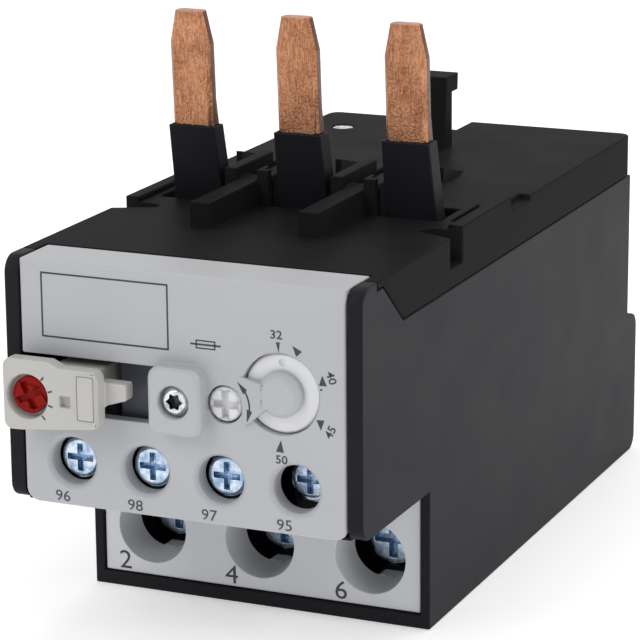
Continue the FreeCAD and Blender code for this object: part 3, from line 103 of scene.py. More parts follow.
class Slot(Enum):
    """The record's material slots."""

    HOUSING = "housing_black"
    COVER = "cover_grey"
    KEY = "key_white"
    DIAL = "dial_white"
    RED = "selector_red"
    FRAME = "frame_blue_grey"
    COPPER = "copper"
    ZINC = "zinc_steel"
    SPRING = "spring_steel"
    BIMETAL = "bimetal"
    HEATER = "heater_alloy"


class Body(Enum):
    """The bodies that pieces ride on."""

    CASING = "casing"
    KEY = "key"
    SELECTOR = "selector"
    DIAL = "dial"
    SETTING = "setting"
    SLIDE = "slide"
    LEVER = "lever"
    ROCKER = "rocker"


# ---------------------------------------------------------------- shader maths

class Value:
    """A socket that carries a number, with Python's operators as Math nodes."""

    def __init__(self, graph: "Graph", socket: bpy.types.NodeSocket) -> None:
        """Wrap a socket of the graph."""
        self.graph = graph
        self.socket = socket

    def _math(self, operation: str, *others: "Value | float") -> "Value":
        """A Math node on this value and the others, in that order."""
        inputs = {i: other for i, other in enumerate((self, *others))}
        return self.graph.value("ShaderNodeMath", {"operation": operation}, inputs)

    def __add__(self, other: "Value | float") -> "Value":
        """Sum."""
        return self._math("ADD", other)

    __radd__ = __add__

    def __sub__(self, other: "Value | float") -> "Value":
        """Difference."""
        return self._math("SUBTRACT", other)

    def __rsub__(self, other: float) -> "Value":
        """A number less this value."""
        return self._math("MULTIPLY", -1.0)._math("ADD", other)

    def __mul__(self, other: "Value | float") -> "Value":
        """Product."""
        return self._math("MULTIPLY", other)

    __rmul__ = __mul__

    def clamped(self) -> "Value":
        """This value kept from 0 to 1."""
        return self.graph.value("ShaderNodeClamp", {}, {0: self, 1: 0.0, 2: 1.0})

    def rise(self, start: float, end: float) -> "Value":
        """0 below start, 1 above end and a straight line between."""
        share = (self - start) * (1.0 / (end - start))
        return share.clamped()


class Graph:
    """The node tree of one material."""

    def __init__(self, name: str) -> None:
        """Start an empty tree with a shader and an output."""
        self.material = bpy.data.materials.new(name)
        self.material.use_nodes = True
        self.tree = self.material.node_tree
        self.tree.nodes.clear()
        self.shader = self.node("ShaderNodeBsdfPrincipled", {}, {})
        output = self.node("ShaderNodeOutputMaterial", {}, {})
        self.tree.links.new(self.shader.outputs[0], output.inputs["Surface"])
        self.place = self.node("ShaderNodeTexCoord", {}, {}).outputs["Object"]

    def node(self, kind: str, settings: dict, inputs: dict) -> bpy.types.Node:
        """Add a node.

        Args:
            kind: the node's type.
            settings: properties of the node, set before its sockets.
            inputs: values or links by socket name or number.

        Returns:
            The node.
        """
        made = self.tree.nodes.new(kind)
        for prop, setting in settings.items():
            setattr(made, prop, setting)
        for key, value in inputs.items():
            self.feed(made.inputs[key], value)
        return made

    def feed(self, socket: bpy.types.NodeSocket, value: object) -> None:
        """Link a socket, or set its value."""
        if isinstance(value, Value):
            value = value.socket
        if isinstance(value, bpy.types.NodeSocket):
            self.tree.links.new(value, socket)
        else:
            socket.default_value = value

    def value(self, kind: str, settings: dict, inputs: dict, output: int | str = 0) -> Value:
        """Add a node and take one of its outputs as a number."""
        return Value(self, self.node(kind, settings, inputs).outputs[output])

    def scaled(self, stretch: Sequence[float], turn: Sequence[float] = (0, 0, 0)
               ) -> bpy.types.NodeSocket:
        """The object's coordinates in millimetres, turned and stretched."""
        mapped = self.node("ShaderNodeMapping", {}, {
            "Vector": self.place, "Rotation": turn,
            "Scale": tuple(1000.0 * s for s in stretch)})
        return mapped.outputs[0]

    def noise(self, scale: float, detail: float = 3.0, stretch: Sequence[float] = (1, 1, 1),
              turn: Sequence[float] = (0, 0, 0), rough: float = 0.5) -> Value:
        """Noise whose scale is in features per millimetre."""
        return self.value("ShaderNodeTexNoise", {}, {
            "Vector": self.scaled(stretch, turn), "Scale": scale, "Detail": detail,
            "Roughness": rough})

    def mix(self, share: "Value | float", low: object, high: object) -> bpy.types.NodeSocket:
        """A colour between two, by a share."""
        made = self.node("ShaderNodeMix", {"data_type": "RGBA"}, {
            0: share, 6: self.opaque(low), 7: self.opaque(high)})
        return made.outputs[2]

    @staticmethod
    def opaque(colour: object) -> object:
        """A plain colour with its alpha, or a link as it is."""
        return (*colour, 1.0) if isinstance(colour, tuple) else colour

    def bump(self, height: Value, depth_mm: float, strength: float = 1.0) -> None:
        """Raise the surface by a height from 0 to 1, depth_mm at its highest."""
        made = self.node("ShaderNodeBump", {}, {
            "Strength": strength, "Distance": depth_mm * MM, "Height": height})
        self.feed(self.shader.inputs["Normal"], made.outputs[0])

    def surface(self, **sockets: object) -> None:
        """Set or link the shader's sockets, by name with _ for a space."""
        for name, value in sockets.items():
            self.feed(self.shader.inputs[name.replace("_", " ")], value)


# ---------------------------------------------------------------- finishes

@dataclass(frozen=True)
class Moulding:
    """A moulded thermoplastic: a spark-eroded grain, faint flow and rubbed places."""

    name: str
    slot: Slot
    colour: Colour
    flow: Colour
    roughness: float = 0.5
    grain: float = 7.0
    grain_depth: float = 0.012
    spread: float = 0.10
    gloss: float = 0.5

    def build(self) -> bpy.types.Material:
        """Build the material."""
        graph = Graph(self.name)
        clouds = graph.noise(0.09, 4.0)
        specks = graph.noise(self.grain, 2.0)
        pits = graph.noise(self.grain * 2.3, 1.0)
        tone = graph.mix((clouds * 0.8 + specks * 0.25 - 0.02).clamped(), self.colour,
                         self.flow)
        rubbed = (clouds - 0.5) * self.spread + (specks - 0.5) * 0.08 + self.roughness
        graph.surface(Base_Color=tone, Roughness=rubbed.clamped(), IOR=1.5,
                      Specular_IOR_Level=self.gloss)
        graph.bump(specks * 0.7 + pits * 0.3, self.grain_depth)
        return graph.material


@dataclass(frozen=True)
class RolledCopper:
    """Rolled copper strip: fine lengthwise brushing, and a faint pebble on the faces."""

    name: str
    slot: Slot
    colour: Colour
    dark: Colour
    roughness: float = 0.33

    def build(self) -> bpy.types.Material:
        """Build the material."""
        graph = Graph(self.name)
        strokes = graph.noise(2.2, 4.0, stretch=(3.2, 3.2, 0.16))
        pebble = graph.noise(2.6, 3.0)
        cloud = graph.noise(0.16, 3.0)
        stain = (cloud.rise(0.3, 0.75) * 0.45 + pebble.rise(0.4, 0.7) * 0.3
                 + strokes.rise(0.35, 0.65) * 0.35)
        tone = graph.mix(stain.clamped(), self.colour, self.dark)
        shine = (strokes - 0.5) * 0.16 + (pebble - 0.5) * 0.18 + self.roughness
        graph.surface(Base_Color=tone, Roughness=shine.clamped(), Metallic=1.0)
        graph.bump(pebble * 0.6 + strokes * 0.4, 0.09)
        return graph.material


@dataclass(frozen=True)
class PlatedMetal:
    """A plated or drawn metal: slight mottling under a satin sheen."""

    name: str
    slot: Slot
    colour: Colour
    tint: Colour
    roughness: float = 0.22
    mottle: float = 0.35
    relief: float = 0.01

    def build(self) -> bpy.types.Material:
        """Build the material."""
        graph = Graph(self.name)
        cloud = graph.noise(self.mottle, 3.0)
        fine = graph.noise(5.0, 2.0)
        tone = graph.mix(cloud.rise(0.35, 0.65), self.colour, self.tint)
        shine = (cloud - 0.5) * 0.12 + (fine - 0.5) * 0.12 + self.roughness
        graph.surface(Base_Color=tone, Roughness=shine.clamped(), Metallic=1.0)
        graph.bump(fine, self.relief)
        return graph.material


@dataclass(frozen=True)
class PrintInk:
    """Pad-printed ink: matt, a little thin in random spots."""

    name: str
    slot: Slot
    colour: Colour
    thin: Colour

    def build(self) -> bpy.types.Material:
        """Build the material."""
        graph = Graph(self.name)
        fine = graph.noise(6.0, 3.0)
        graph.surface(Base_Color=graph.mix(fine.rise(0.55, 0.8), self.colour, self.thin),
                      Roughness=0.55)
        return graph.material


FINISHES = {
    "black": Moulding("BlackMoulding", Slot.HOUSING, srgb(24, 24, 27), srgb(32, 32, 36),
                      roughness=0.5, grain=5.0, grain_depth=0.016, spread=0.16,
                      gloss=0.08),
    "lid": Moulding("LidMoulding", Slot.HOUSING, srgb(20, 20, 21), srgb(36, 36, 38),
                    roughness=0.5, grain=2.4, grain_depth=0.03, spread=0.2, gloss=0.01),
    "cover": Moulding("CoverMoulding", Slot.COVER, srgb(168, 170, 174), srgb(177, 178, 181),
                      roughness=0.5, grain_depth=0.006),
    "plate": Moulding("PlateMoulding", Slot.COVER, srgb(198, 200, 204), srgb(207, 208, 211),
                      roughness=0.5, grain_depth=0.006),
    "key": Moulding("KeyMoulding", Slot.KEY, srgb(174, 173, 169), srgb(184, 183, 179),
                    roughness=0.45, grain_depth=0.005),
    "dial": Moulding("DialMoulding", Slot.DIAL, srgb(212, 213, 216), srgb(221, 221, 224),
                     roughness=0.4, grain_depth=0.004),
    "red": Moulding("RedMoulding", Slot.RED, srgb(158, 20, 14), srgb(110, 8, 6),
                    roughness=0.35, grain_depth=0.004, gloss=0.1),
    "frame": Moulding("FrameMoulding", Slot.FRAME, srgb(58, 60, 70), srgb(66, 68, 78),
                      roughness=0.45, grain_depth=0.008),
    "copper": RolledCopper("RolledCopper", Slot.COPPER, srgb(206, 148, 112),
                           srgb(92, 50, 32), roughness=0.3),
    "zinc": PlatedMetal("ZincPlate", Slot.ZINC, srgb(202, 213, 224), srgb(136, 160, 190),
                        mottle=0.9, relief=0.03),
    "steel": PlatedMetal("BrightSteel", Slot.ZINC, srgb(222, 223, 224), srgb(168, 170, 172),
                         mottle=0.9),
    # painted shade and painted highlights: the screw-head recess faces are darker than the
    # zinc and mottled light and dark to stand in for the shade and reflections in the cross
    # recess
    "recess": PlatedMetal("ZincRecessShadeAndGlint", Slot.ZINC, srgb(176, 200, 226), srgb(92, 120, 152),
                          roughness=0.3, mottle=1.4),
    # painted shade: the faces sunk in the cap and cover screw heads are painted dark so the
    # slots read as shadowed hollows
    "slot": PlatedMetal("SteelRecessShade", Slot.ZINC, srgb(70, 71, 72), srgb(30, 31, 32),
                        roughness=0.35, mottle=1.4),
    "spring": PlatedMetal("SpringSteel", Slot.SPRING, srgb(176, 176, 178),
                          srgb(140, 140, 144), roughness=0.3),
    "bimetal": PlatedMetal("BimetalStrip", Slot.BIMETAL, srgb(184, 178, 166),
                           srgb(150, 140, 122), roughness=0.34),
    "heater": PlatedMetal("HeaterRibbon", Slot.HEATER, srgb(140, 132, 122),
                          srgb(98, 88, 80), roughness=0.4),
    # painted shade: a darker copy of the copper for the blades' narrow side faces, which fall
    # in shade
    "copper_shaded_side": RolledCopper("RolledCopperShadedSide", Slot.COPPER, srgb(112, 68, 48),
                                srgb(60, 34, 24)),
    "ink": PrintInk("PrintInk", Slot.COVER, srgb(46, 48, 58), srgb(70, 72, 82)),
}
MADE: dict[str, bpy.types.Material] = {}


def finish(name: str) -> bpy.types.Material:
    """The material of a named finish, built once."""
    if name not in MADE:
        MADE[name] = FINISHES[name].build()
    return MADE[name]


# ---------------------------------------------------------------- mesh helpers

def settle(obj: bpy.types.Object, body: Body, finish_name: str,
           replaced: Iterable[str] = ()) -> bpy.types.Object:
    """Give a piece its finish and body, and hide the nodes it stands for.

    Args:
        obj: the finished piece, at the origin with its place in its mesh.
        body: the body it rides on.
        finish_name: the key of its finish.
        replaced: CAD nodes that it stands for.

    Returns:
        The piece.
    """
    if not obj.data.materials:
        obj.data.materials.append(finish(finish_name))
    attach(obj, body.value)
    if replaced:
        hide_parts(*replaced)
    log.info("%s rides on %s in %s", obj.name, body.value, finish_name)
    return obj


def new_piece(name: str, mesh: bpy.types.Mesh) -> bpy.types.Object:
    """A new object of the scene round a mesh."""
    obj = bpy.data.objects.new(name, mesh)
    bpy.context.scene.collection.objects.link(obj)
    return obj


MERGE_DISTANCE = 0.02 * MM


def weigh_edges(work: bmesh.types.BMesh, crease: float, tip: float = 0.6) -> None:
    """Mark the edges to be rounded.

    Args:
        work: the mesh.
        crease: edges that turn more than this, in radians, are rounded.
        tip: edges that meet at less than this angle end in a tip and are left sharp.
    """
    layer = work.edges.layers.float.new("bevel_weight_edge")
    sharp = {edge for edge in work.edges
             if len(edge.link_faces) == 2 and edge.calc_face_angle() > crease}
    kept = set(sharp)
    for vertex in work.verts:
        spokes = [edge for edge in vertex.link_edges if edge in sharp]
        ways = [(edge.other_vert(vertex).co - vertex.co).normalized() for edge in spokes]
        for i, way in enumerate(ways):
            for other in ways[i + 1:]:
                if way.dot(other) > math.cos(tip):
                    kept.difference_update(spokes)
    for edge in kept:
        edge[layer] = 1.0


def softened(node: str, name: str, width_mm: float, segments: int = 2,
             crease_deg: float = 32.0) -> bpy.types.Object:
    """A copy of a CAD node with its doubles merged and its edges rounded.

    Args:
        node: the CAD node.
        name: the new piece's name.
        width_mm: the round's width.
        segments: faces across each round.
        crease_deg: edges that turn more than this are rounded.

    Returns:
        The new piece.
    """
    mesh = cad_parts[node].data.copy()
    mesh.name = name
    mesh.materials.clear()
    work = bmesh.new()
    work.from_mesh(mesh)
    bmesh.ops.remove_doubles(work, verts=work.verts, dist=MERGE_DISTANCE)
    weigh_edges(work, math.radians(crease_deg))
    work.to_mesh(mesh)
    work.free()
    obj = new_piece(name, mesh)
    shade(obj.data, crease_deg)
    if width_mm > 0:
        bevel = obj.modifiers.new("Edges", "BEVEL")
        bevel.width = width_mm * MM
        bevel.segments = segments
        bevel.limit_method = "WEIGHT"
        bevel.use_clamp_overlap = False
        bevel.harden_normals = True
        bevel.loop_slide = False
        weigh = obj.modifiers.new("Normals", "WEIGHTED_NORMAL")
        weigh.keep_sharp = True
        baked = evaluated(obj)
        obj.modifiers.clear()
        obj.data = baked
    return obj


# depths behind a screw head's top of the faces that take painted shade
RECESS_TOP = 0.2 * MM
RECESS_FLOOR = 2.2 * MM


def dressed(obj: bpy.types.Object, first: str, second: str,
            chosen: Callable[[bpy.types.MeshPolygon], bool]) -> None:
    """Give a piece two finishes.

    Args:
        obj: the piece, with no finish yet.
        first, second: its usual finish, and the one of the chosen faces.
        chosen: says whether a face takes the second finish.
    """
    obj.data.materials.append(finish(first))
    obj.data.materials.append(finish(second))
    for face in obj.data.polygons:
        face.material_index = 1 if chosen(face) else 0


def sunk_in_head(obj: bpy.types.Object, out: Vector, reach_mm: float
                 ) -> Callable[[bpy.types.MeshPolygon], bool]:
    """A test for the faces sunk in a screw's head, the ones that take painted shade.

    Args:
        obj: the screw.
        out: the way that its head looks, along one axis.
        reach_mm: how far the recess goes from the screw's axis.

    Returns:
        A function that says whether a face is one of them.
    """
    corners = [vertex.co for vertex in obj.data.vertices]
    top = max(corner.dot(out) for corner in corners)
    low = Vector([min(corner[i] for corner in corners) for i in range(3)])
    high = Vector([max(corner[i] for corner in corners) for i in range(3)])
    axis = (low + high) / 2

    def chosen(face: bpy.types.MeshPolygon) -> bool:
        depth = top - face.center.dot(out)
        away = face.center - axis
        across = (away - out * away.dot(out)).length
        return RECESS_TOP < depth < RECESS_FLOOR and across < reach_mm * MM
    return chosen


def evaluated(obj: bpy.types.Object) -> bpy.types.Mesh:
    """The mesh that an object's modifiers give, as a plain mesh."""
    graph = bpy.context.evaluated_depsgraph_get()
    graph.update()
    return bpy.data.meshes.new_from_object(obj.evaluated_get(graph))


def shade(mesh: bpy.types.Mesh, crease_deg: float) -> None:
    """Smooth shading with sharp edges past an angle."""
    mesh.polygons.foreach_set("use_smooth", [True] * len(mesh.polygons))
    mesh.set_sharp_from_angle(angle=math.radians(crease_deg))


def facing_front(x: float, y: float, z: float, turn_deg: float = 0.0
                 ) -> Callable[[float, float, float], Vector]:
    """A placer for flat things on a face that looks to -Y.

    Args:
        x, y, z: where the thing's own zero lies.
        turn_deg: its turn, clockwise as seen from the front.

    Returns:
        A function from (across, up, out) to a point of the frame.
    """
    c, s = math.cos(math.radians(turn_deg)), math.sin(math.radians(turn_deg))

    def place(a: float, b: float, out: float) -> Vector:
        return Vector((x + a * c + b * s, y - out, z - a * s + b * c))
    return place


INK_DEPTH = 0.03 * MM
WIDE = 1.1


def number(name: str, text: str, height: float, x: float, y: float, z: float,
           turn_deg: float = 0.0, bold: float = 0.0, width: float = 1.0
           ) -> bpy.types.Object:
    """A printed number centred on a point of a front face.

    Args:
        name: the piece's name.
        text: its digits.
        height: the digits' height in metres.
        x, y, z: the middle of the number.
        turn_deg: its turn, clockwise as seen from the front.
        bold: how far the strokes are thickened, as a share of the height.
        width: how wide the digits are, as a share of their usual width.

    Returns:
        The piece.
    """
    curve = bpy.data.curves.new(name, "FONT")
    curve.body = text
    curve.align_x = "CENTER"
    curve.align_y = "CENTER"
    curve.size = 1.0
    curve.offset = bold
    curve.extrude = 0.01
    curve.resolution_u = 3
    source = new_piece(name + "_curve", curve)
    mesh = evaluated(source)
    bpy.data.objects.remove(source)
    tall = max(v.co.y for v in mesh.vertices) - min(v.co.y for v in mesh.vertices)
    place = facing_front(x, y, z, turn_deg)
    scale = height / tall
    for vertex in mesh.vertices:
        a, b, out = vertex.co
        vertex.co = place(a * scale * width, b * scale,
                          INK_DEPTH if out > 0 else 0.0)
    mesh.name = name
    return new_piece(name, mesh)


# ---------------------------------------------------------------- geometry nodes

class Shapes:
    """Builds a geometry node tree with named inputs."""

    def __init__(self, name: str, sizes: dict[str, float], counts: dict[str, int]) -> None:
        """Start a tree.

        Args:
            name: the tree's name.
            sizes: its number inputs and their values.
            counts: its whole-number inputs and their values.
        """
        self.tree = bpy.data.node_groups.new(name, "GeometryNodeTree")
        face = self.tree.interface
        self.values: dict[str, float | int] = {}
        for label, value in sizes.items():
            face.new_socket(label, in_out="INPUT", socket_type="NodeSocketFloat")
            self.values[label] = value
        for label, value in counts.items():
            face.new_socket(label, in_out="INPUT", socket_type="NodeSocketInt")
            self.values[label] = value
        face.new_socket("Geometry", in_out="OUTPUT", socket_type="NodeSocketGeometry")
        self.given = self.tree.nodes.new("NodeGroupInput")
        self.result = self.tree.nodes.new("NodeGroupOutput")

    def size(self, label: str) -> bpy.types.NodeSocket:
        """The socket of a named input."""
        return self.given.outputs[label]

    def node(self, kind: str, settings: dict, inputs: dict) -> bpy.types.Node:
        """Add a node, with its settings first and then its sockets."""
        made = self.tree.nodes.new(kind)
        for prop, setting in settings.items():
            setattr(made, prop, setting)
        for key, value in inputs.items():
            sources = value if isinstance(value, list) else [value]
            for source in sources:
                if isinstance(source, bpy.types.NodeSocket):
                    self.tree.links.new(source, made.inputs[key])
                else:
                    made.inputs[key].default_value = source
        return made

    def math(self, operation: str, *values: object) -> bpy.types.NodeSocket:
        """A Math node's result."""
        inputs = dict(enumerate(values))
        return self.node("ShaderNodeMath", {"operation": operation}, inputs).outputs[0]

    def vector(self, x: object = 0.0, y: object = 0.0, z: object = 0.0
               ) -> bpy.types.NodeSocket:
        """A vector from three numbers or sockets."""
        return self.node("ShaderNodeCombineXYZ", {}, {0: x, 1: y, 2: z}).outputs[0]

    def moved(self, geometry: bpy.types.NodeSocket, offset: object,
              turn: object = (0.0, 0.0, 0.0)) -> bpy.types.NodeSocket:
        """Geometry moved and turned."""
        return self.node("GeometryNodeTransform", {}, {
            "Geometry": geometry, "Translation": offset, "Rotation": turn}).outputs[0]

    def together(self, parts: list[bpy.types.NodeSocket]) -> bpy.types.NodeSocket:
        """Several geometries as one."""
        return self.node("GeometryNodeJoinGeometry", {}, {0: parts}).outputs[0]

    def quad(self, width: object, height: object) -> bpy.types.NodeSocket:
        """A closed rectangle as a curve."""
        return self.node("GeometryNodeCurvePrimitiveQuadrilateral", {"mode": "RECTANGLE"}, {
            "Width": width, "Height": height}).outputs[0]

    def raised(self, sheet: bpy.types.NodeSocket, thick: object) -> bpy.types.NodeSocket:
        """A flat sheet raised to a slab along +Z."""
        return self.node("GeometryNodeExtrudeMesh", {"mode": "FACES"}, {
            "Mesh": sheet, "Offset": self.vector(z=1.0), "Offset Scale": thick,
            "Individual": False}).outputs[0]

    def stroke(self, curve: bpy.types.NodeSocket, line: object, thick: object
               ) -> bpy.types.NodeSocket:
        """A curve of the XY plane drawn as a flat line raised along +Z."""
        flat = self.node("GeometryNodeSetCurveNormal", {"mode": "Z_UP"}, {
            "Curve": curve}).outputs[0]
        bar = self.quad(line, thick)
        swept = self.node("GeometryNodeCurveToMesh", {}, {
            "Curve": flat, "Profile Curve": bar, "Fill Caps": True}).outputs[0]
        half = self.math("MULTIPLY", thick, 0.5)
        return self.moved(swept, self.vector(z=half))

    def dart(self, width: object, length: object, notch: object, thick: object
             ) -> bpy.types.NodeSocket:
        """An arrowhead that points to +Y, its middle at zero, raised along +Z."""
        outline = self.node("GeometryNodeCurvePrimitiveQuadrilateral", {"mode": "KITE"}, {
            "Width": width, "Bottom Height": self.math("MULTIPLY", notch, -1.0),
            "Top Height": length}).outputs[0]
        sheet = self.node("GeometryNodeFillCurve", {"mode": "NGONS"}, {0: outline}).outputs[0]
        back = self.vector(y=self.math("MULTIPLY", length, -0.5))
        return self.moved(self.raised(sheet, thick), back)

    def on_front(self, flat: bpy.types.NodeSocket, place: object) -> bpy.types.NodeSocket:
        """Geometry of the XY plane stood up on a front face, its +Z turned to -Y."""
        return self.moved(flat, place, (math.radians(90.0), 0.0, 0.0))

    def draped(self, geometry: bpy.types.NodeSocket, target: bpy.types.Object,
               level: float) -> bpy.types.NodeSocket:
        """Geometry in front of a body pushed along +Y until its level meets the body."""
        body = self.node("GeometryNodeObjectInfo", {"transform_space": "RELATIVE"}, {
            "Object": target}).outputs["Geometry"]
        hit = self.node("GeometryNodeRaycast", {}, {
            "Target Geometry": body, "Ray Direction": (0.0, 1.0, 0.0), "Ray Length": 0.02})
        place = self.node("GeometryNodeInputPosition", {}, {}).outputs[0]
        now = self.node("ShaderNodeSeparateXYZ", {}, {0: place})
        met = self.node("ShaderNodeSeparateXYZ", {}, {0: hit.outputs["Hit Position"]})
        push = self.math("SUBTRACT", met.outputs[1], level)
        kept = self.math("MULTIPLY", push, hit.outputs["Is Hit"])
        return self.node("GeometryNodeSetPosition", {}, {
            "Geometry": geometry, "Offset": self.vector(y=kept)}).outputs[0]

    def piece(self, name: str, geometry: bpy.types.NodeSocket, finish_name: str
              ) -> bpy.types.Object:
        """End the tree and turn its result into a plain piece.

        Args:
            name: the piece's name.
            geometry: what the tree makes.
            finish_name: its finish.

        Returns:
            The piece, with the modifier gone.
        """
        real = self.node("GeometryNodeRealizeInstances", {}, {0: geometry}).outputs[0]
        dressed = self.node("GeometryNodeSetMaterial", {}, {
            "Geometry": real, "Material": finish(finish_name)}).outputs[0]
        self.tree.links.new(dressed, self.result.inputs[0])
        holder = new_piece(name, bpy.data.meshes.new(name + "_seed"))
        modifier = holder.modifiers.new("Shapes", "NODES")
        modifier.node_group = self.tree
        for item in self.tree.interface.items_tree:
            if item.in_out == "INPUT":
                modifier[item.identifier] = self.values[item.name]
        mesh = evaluated(holder)
        holder.modifiers.clear()
        holder.data = mesh
        mesh.name = name
        return holder


# ---------------------------------------------------------------- sub-assemblies

@dataclass
class Casing:
    """The two black mouldings and the two steel screws that hold them."""

    edge: float = 0.22
    screw_edge: float = 0.08
    recess_reach: float = 1.5

    def build(self) -> None:
        """Dress the casing."""
        for node, finish_name in (("base_housing", "black"), ("top_cap", "lid")):
            piece = softened(node, node + "_moulding", self.edge)
            settle(piece, Body.CASING, finish_name, [node])
        for node, out in (("cap_screw", UPWARDS), ("cover_screw", TO_FRONT)):
            screw = softened(node, node + "_head", self.screw_edge)
            # the faces of each screw's slot take the dark steel, as painted shade
            dressed(screw, "steel", "slot", sunk_in_head(screw, out, self.recess_reach))
            settle(screw, Body.CASING, "steel", [node])


@dataclass
class FrontCover:
    """The light cover with its printing."""

    edge: float = 0.18
    label_size: Point = (20.1, 9.4)
    label_place: Point = (-11.85, 51.7)
    label_line: float = 0.36
    fuse_size: Point = (2.9, 1.1)
    fuse_reach: float = 4.7
    fuse_place: Point = (4.1, 48.27)
    fuse_line: float = 0.26
    port_texts: tuple[str, ...] = ("96", "98", "97", "95")
    port_text_height: float = 1.62
    port_text_shift: float = -1.7
    port_text_row: float = 22.98
    arrow_radius: float = 4.15
    arrow_line: float = 0.28
    arrow_head: Point = (1.0, 1.9)
    arrow_notch: float = 0.2
    arrow_ends: Point = (34.0, -3.5)
    arrow_leans: Point = (14.0, 168.5)
    ahead: float = 4.0
    face: float = field(init=False)
    aux: list[Span] = field(init=False)

    def __post_init__(self) -> None:
        """Find the face's plane and the four ports."""
        lip = Span.of("setting_screw").low.y
        self.face = lip - 0.15 * MM
        self.aux = [Span.of(f"aux_screw_{i}") for i in range(1, 5)]

    def build(self) -> None:
        """Dress the cover and print it."""
        piece = softened("front_cover", "front_cover_moulding", self.edge)
        settle(piece, Body.CASING, "cover", ["front_cover"])
        self.label_frame()
        self.fuse_sign()
        self.port_numbers()
        self.turn_arrow()

    def label_frame(self) -> None:
        """The printed rectangle for a label at the upper left."""
        width, height = self.label_size
        shapes = Shapes("LabelFrame", {"Width": width * MM, "Height": height * MM,
                                       "Line": self.label_line * MM, "Ink": INK_DEPTH}, {})
        frame_line = shapes.stroke(shapes.quad(shapes.size("Width"), shapes.size("Height")),
                                   shapes.size("Line"), shapes.size("Ink"))
        placed = shapes.on_front(frame_line, self.at(*self.label_place))
        settle(shapes.piece("label_frame", placed, "ink"), Body.CASING, "ink")

    def at(self, across: float, up: float) -> tuple[float, float, float]:
        """A point of the cover's face, from its places in millimetres."""
        return (across * MM, self.face, up * MM)

    def fuse_sign(self) -> None:
        """The general sign for a fuse: a long box with a line through it."""
        width, height = self.fuse_size
        shapes = Shapes("FuseSign", {"Width": width * MM, "Height": height * MM,
                                     "Reach": self.fuse_reach * MM,
                                     "Line": self.fuse_line * MM, "Ink": INK_DEPTH}, {})
        ink = shapes.size("Ink")
        half = shapes.math("MULTIPLY", shapes.size("Reach"), 0.5)
        line = shapes.node("GeometryNodeCurvePrimitiveLine", {"mode": "POINTS"}, {
            "Start": shapes.vector(x=shapes.math("MULTIPLY", half, -1.0)),
            "End": shapes.vector(x=half)}).outputs[0]
        box = shapes.quad(shapes.size("Width"), shapes.size("Height"))
        strokes = [shapes.stroke(curve, shapes.size("Line"), ink) for curve in (box, line)]
        placed = shapes.on_front(shapes.together(strokes), self.at(*self.fuse_place))
        settle(shapes.piece("fuse_sign", placed, "ink"), Body.CASING, "ink")

    def port_numbers(self) -> None:
        """The contact numbers below the four ports."""
        for i, (text, span) in enumerate(zip(self.port_texts, self.aux), start=1):
            across = span.middle.x + self.port_text_shift * MM
            piece = number(f"port_number_{i}", text, self.port_text_height * MM, across,
                           self.face, self.port_text_row * MM, width=WIDE)
            settle(piece, Body.CASING, "ink")

    def turn_arrow(self) -> None:
        """The curved double arrow beside the setting screw, draped over the dial's ramp."""
        width, length = self.arrow_head
        high, low = self.arrow_ends
        shapes = Shapes("TurnArrow", {"Radius": self.arrow_radius * MM,
                                      "Line": self.arrow_line * MM, "Head": length * MM,
                                      "Head width": width * MM,
                                      "Notch": self.arrow_notch * MM,
                                      "Upper end": math.radians(high),
                                      "Lower end": math.radians(low), "Ink": INK_DEPTH},
                        {"Steps": 24})
        upper, lower = shapes.size("Upper end"), shapes.size("Lower end")
        radius = shapes.size("Radius")
        arc = shapes.node("GeometryNodeCurveArc", {"mode": "RADIUS"}, {
            "Resolution": shapes.size("Steps"), "Radius": radius, "Start Angle": lower,
            "Sweep Angle": shapes.math("SUBTRACT", upper, lower)}).outputs[0]
        parts = [shapes.stroke(arc, shapes.size("Line"), shapes.size("Ink"))]
        for angle, lean in zip((upper, lower), self.arrow_leans):
            head = shapes.dart(shapes.size("Head width"), shapes.size("Head"),
                               shapes.size("Notch"), shapes.size("Ink"))
            spot = shapes.vector(
                x=shapes.math("MULTIPLY", radius, shapes.math("COSINE", angle)),
                y=shapes.math("MULTIPLY", radius, shapes.math("SINE", angle)))
            turn = shapes.vector(z=shapes.math("ADD", angle, math.radians(lean)))
            half = shapes.math("MULTIPLY", shapes.size("Head"), 0.5)
            forward = shapes.moved(head, shapes.vector(y=half))
            parts.append(shapes.moved(forward, spot, turn))
        centre = Span.of("setting_screw").middle
        level = self.face - self.ahead * MM
        flat = shapes.on_front(shapes.together(parts), (centre.x, level, centre.z))
        draped = shapes.draped(flat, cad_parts["front_cover"], level)
        settle(shapes.piece("turn_arrow", draped, "ink"), Body.CASING, "ink")


@dataclass
class TerminalBlock:
    """The grey terminal plate, its numbers, and the load screws behind it."""

    edge: float = 0.15
    text_height: float = 2.9
    text_shift: float = -4.75
    text_row: float = 4.05
    load_screw: Point = (0.12, 3.2)
    aux_screw: Point = (0.1, 2.4)

    def build(self) -> None:
        """Dress the terminals."""
        plate = softened("terminal_plate", "terminal_plate_moulding", self.edge)
        settle(plate, Body.CASING, "plate", ["terminal_plate"])
        front = Span.of("terminal_plate").low.y
        for i, text in enumerate("246", start=1):
            x = Span.of(f"load_screw_{i}").middle.x
            piece = number(f"load_number_{i}", text, self.text_height * MM,
                           x + self.text_shift * MM, front, self.text_row * MM, width=WIDE)
            settle(piece, Body.CASING, "ink")
        for count, screw, clamp, (edge, reach) in (
                (3, "load_screw", "box_clamp", self.load_screw),
                (4, "aux_screw", "aux_clamp", self.aux_screw)):
            for i in range(1, count + 1):
                self.plated(f"{screw}_{i}", edge, reach)
                self.plated(f"{clamp}_{i}", edge, 0.0)

    def plated(self, node: str, edge: float, reach: float) -> None:
        """Dress a plated piece. Its recess within a reach of its axis is painted darker and
        strongly mottled, as painted shade and painted reflections.
        """
        piece = softened(node, node + "_plated", edge)
        if reach:
            # the recess faces take the painted shade and highlights
            sunk = sunk_in_head(piece, TO_FRONT, reach)
            dressed(piece, "zinc", "recess", sunk)
        settle(piece, Body.CASING, "zinc", [node])


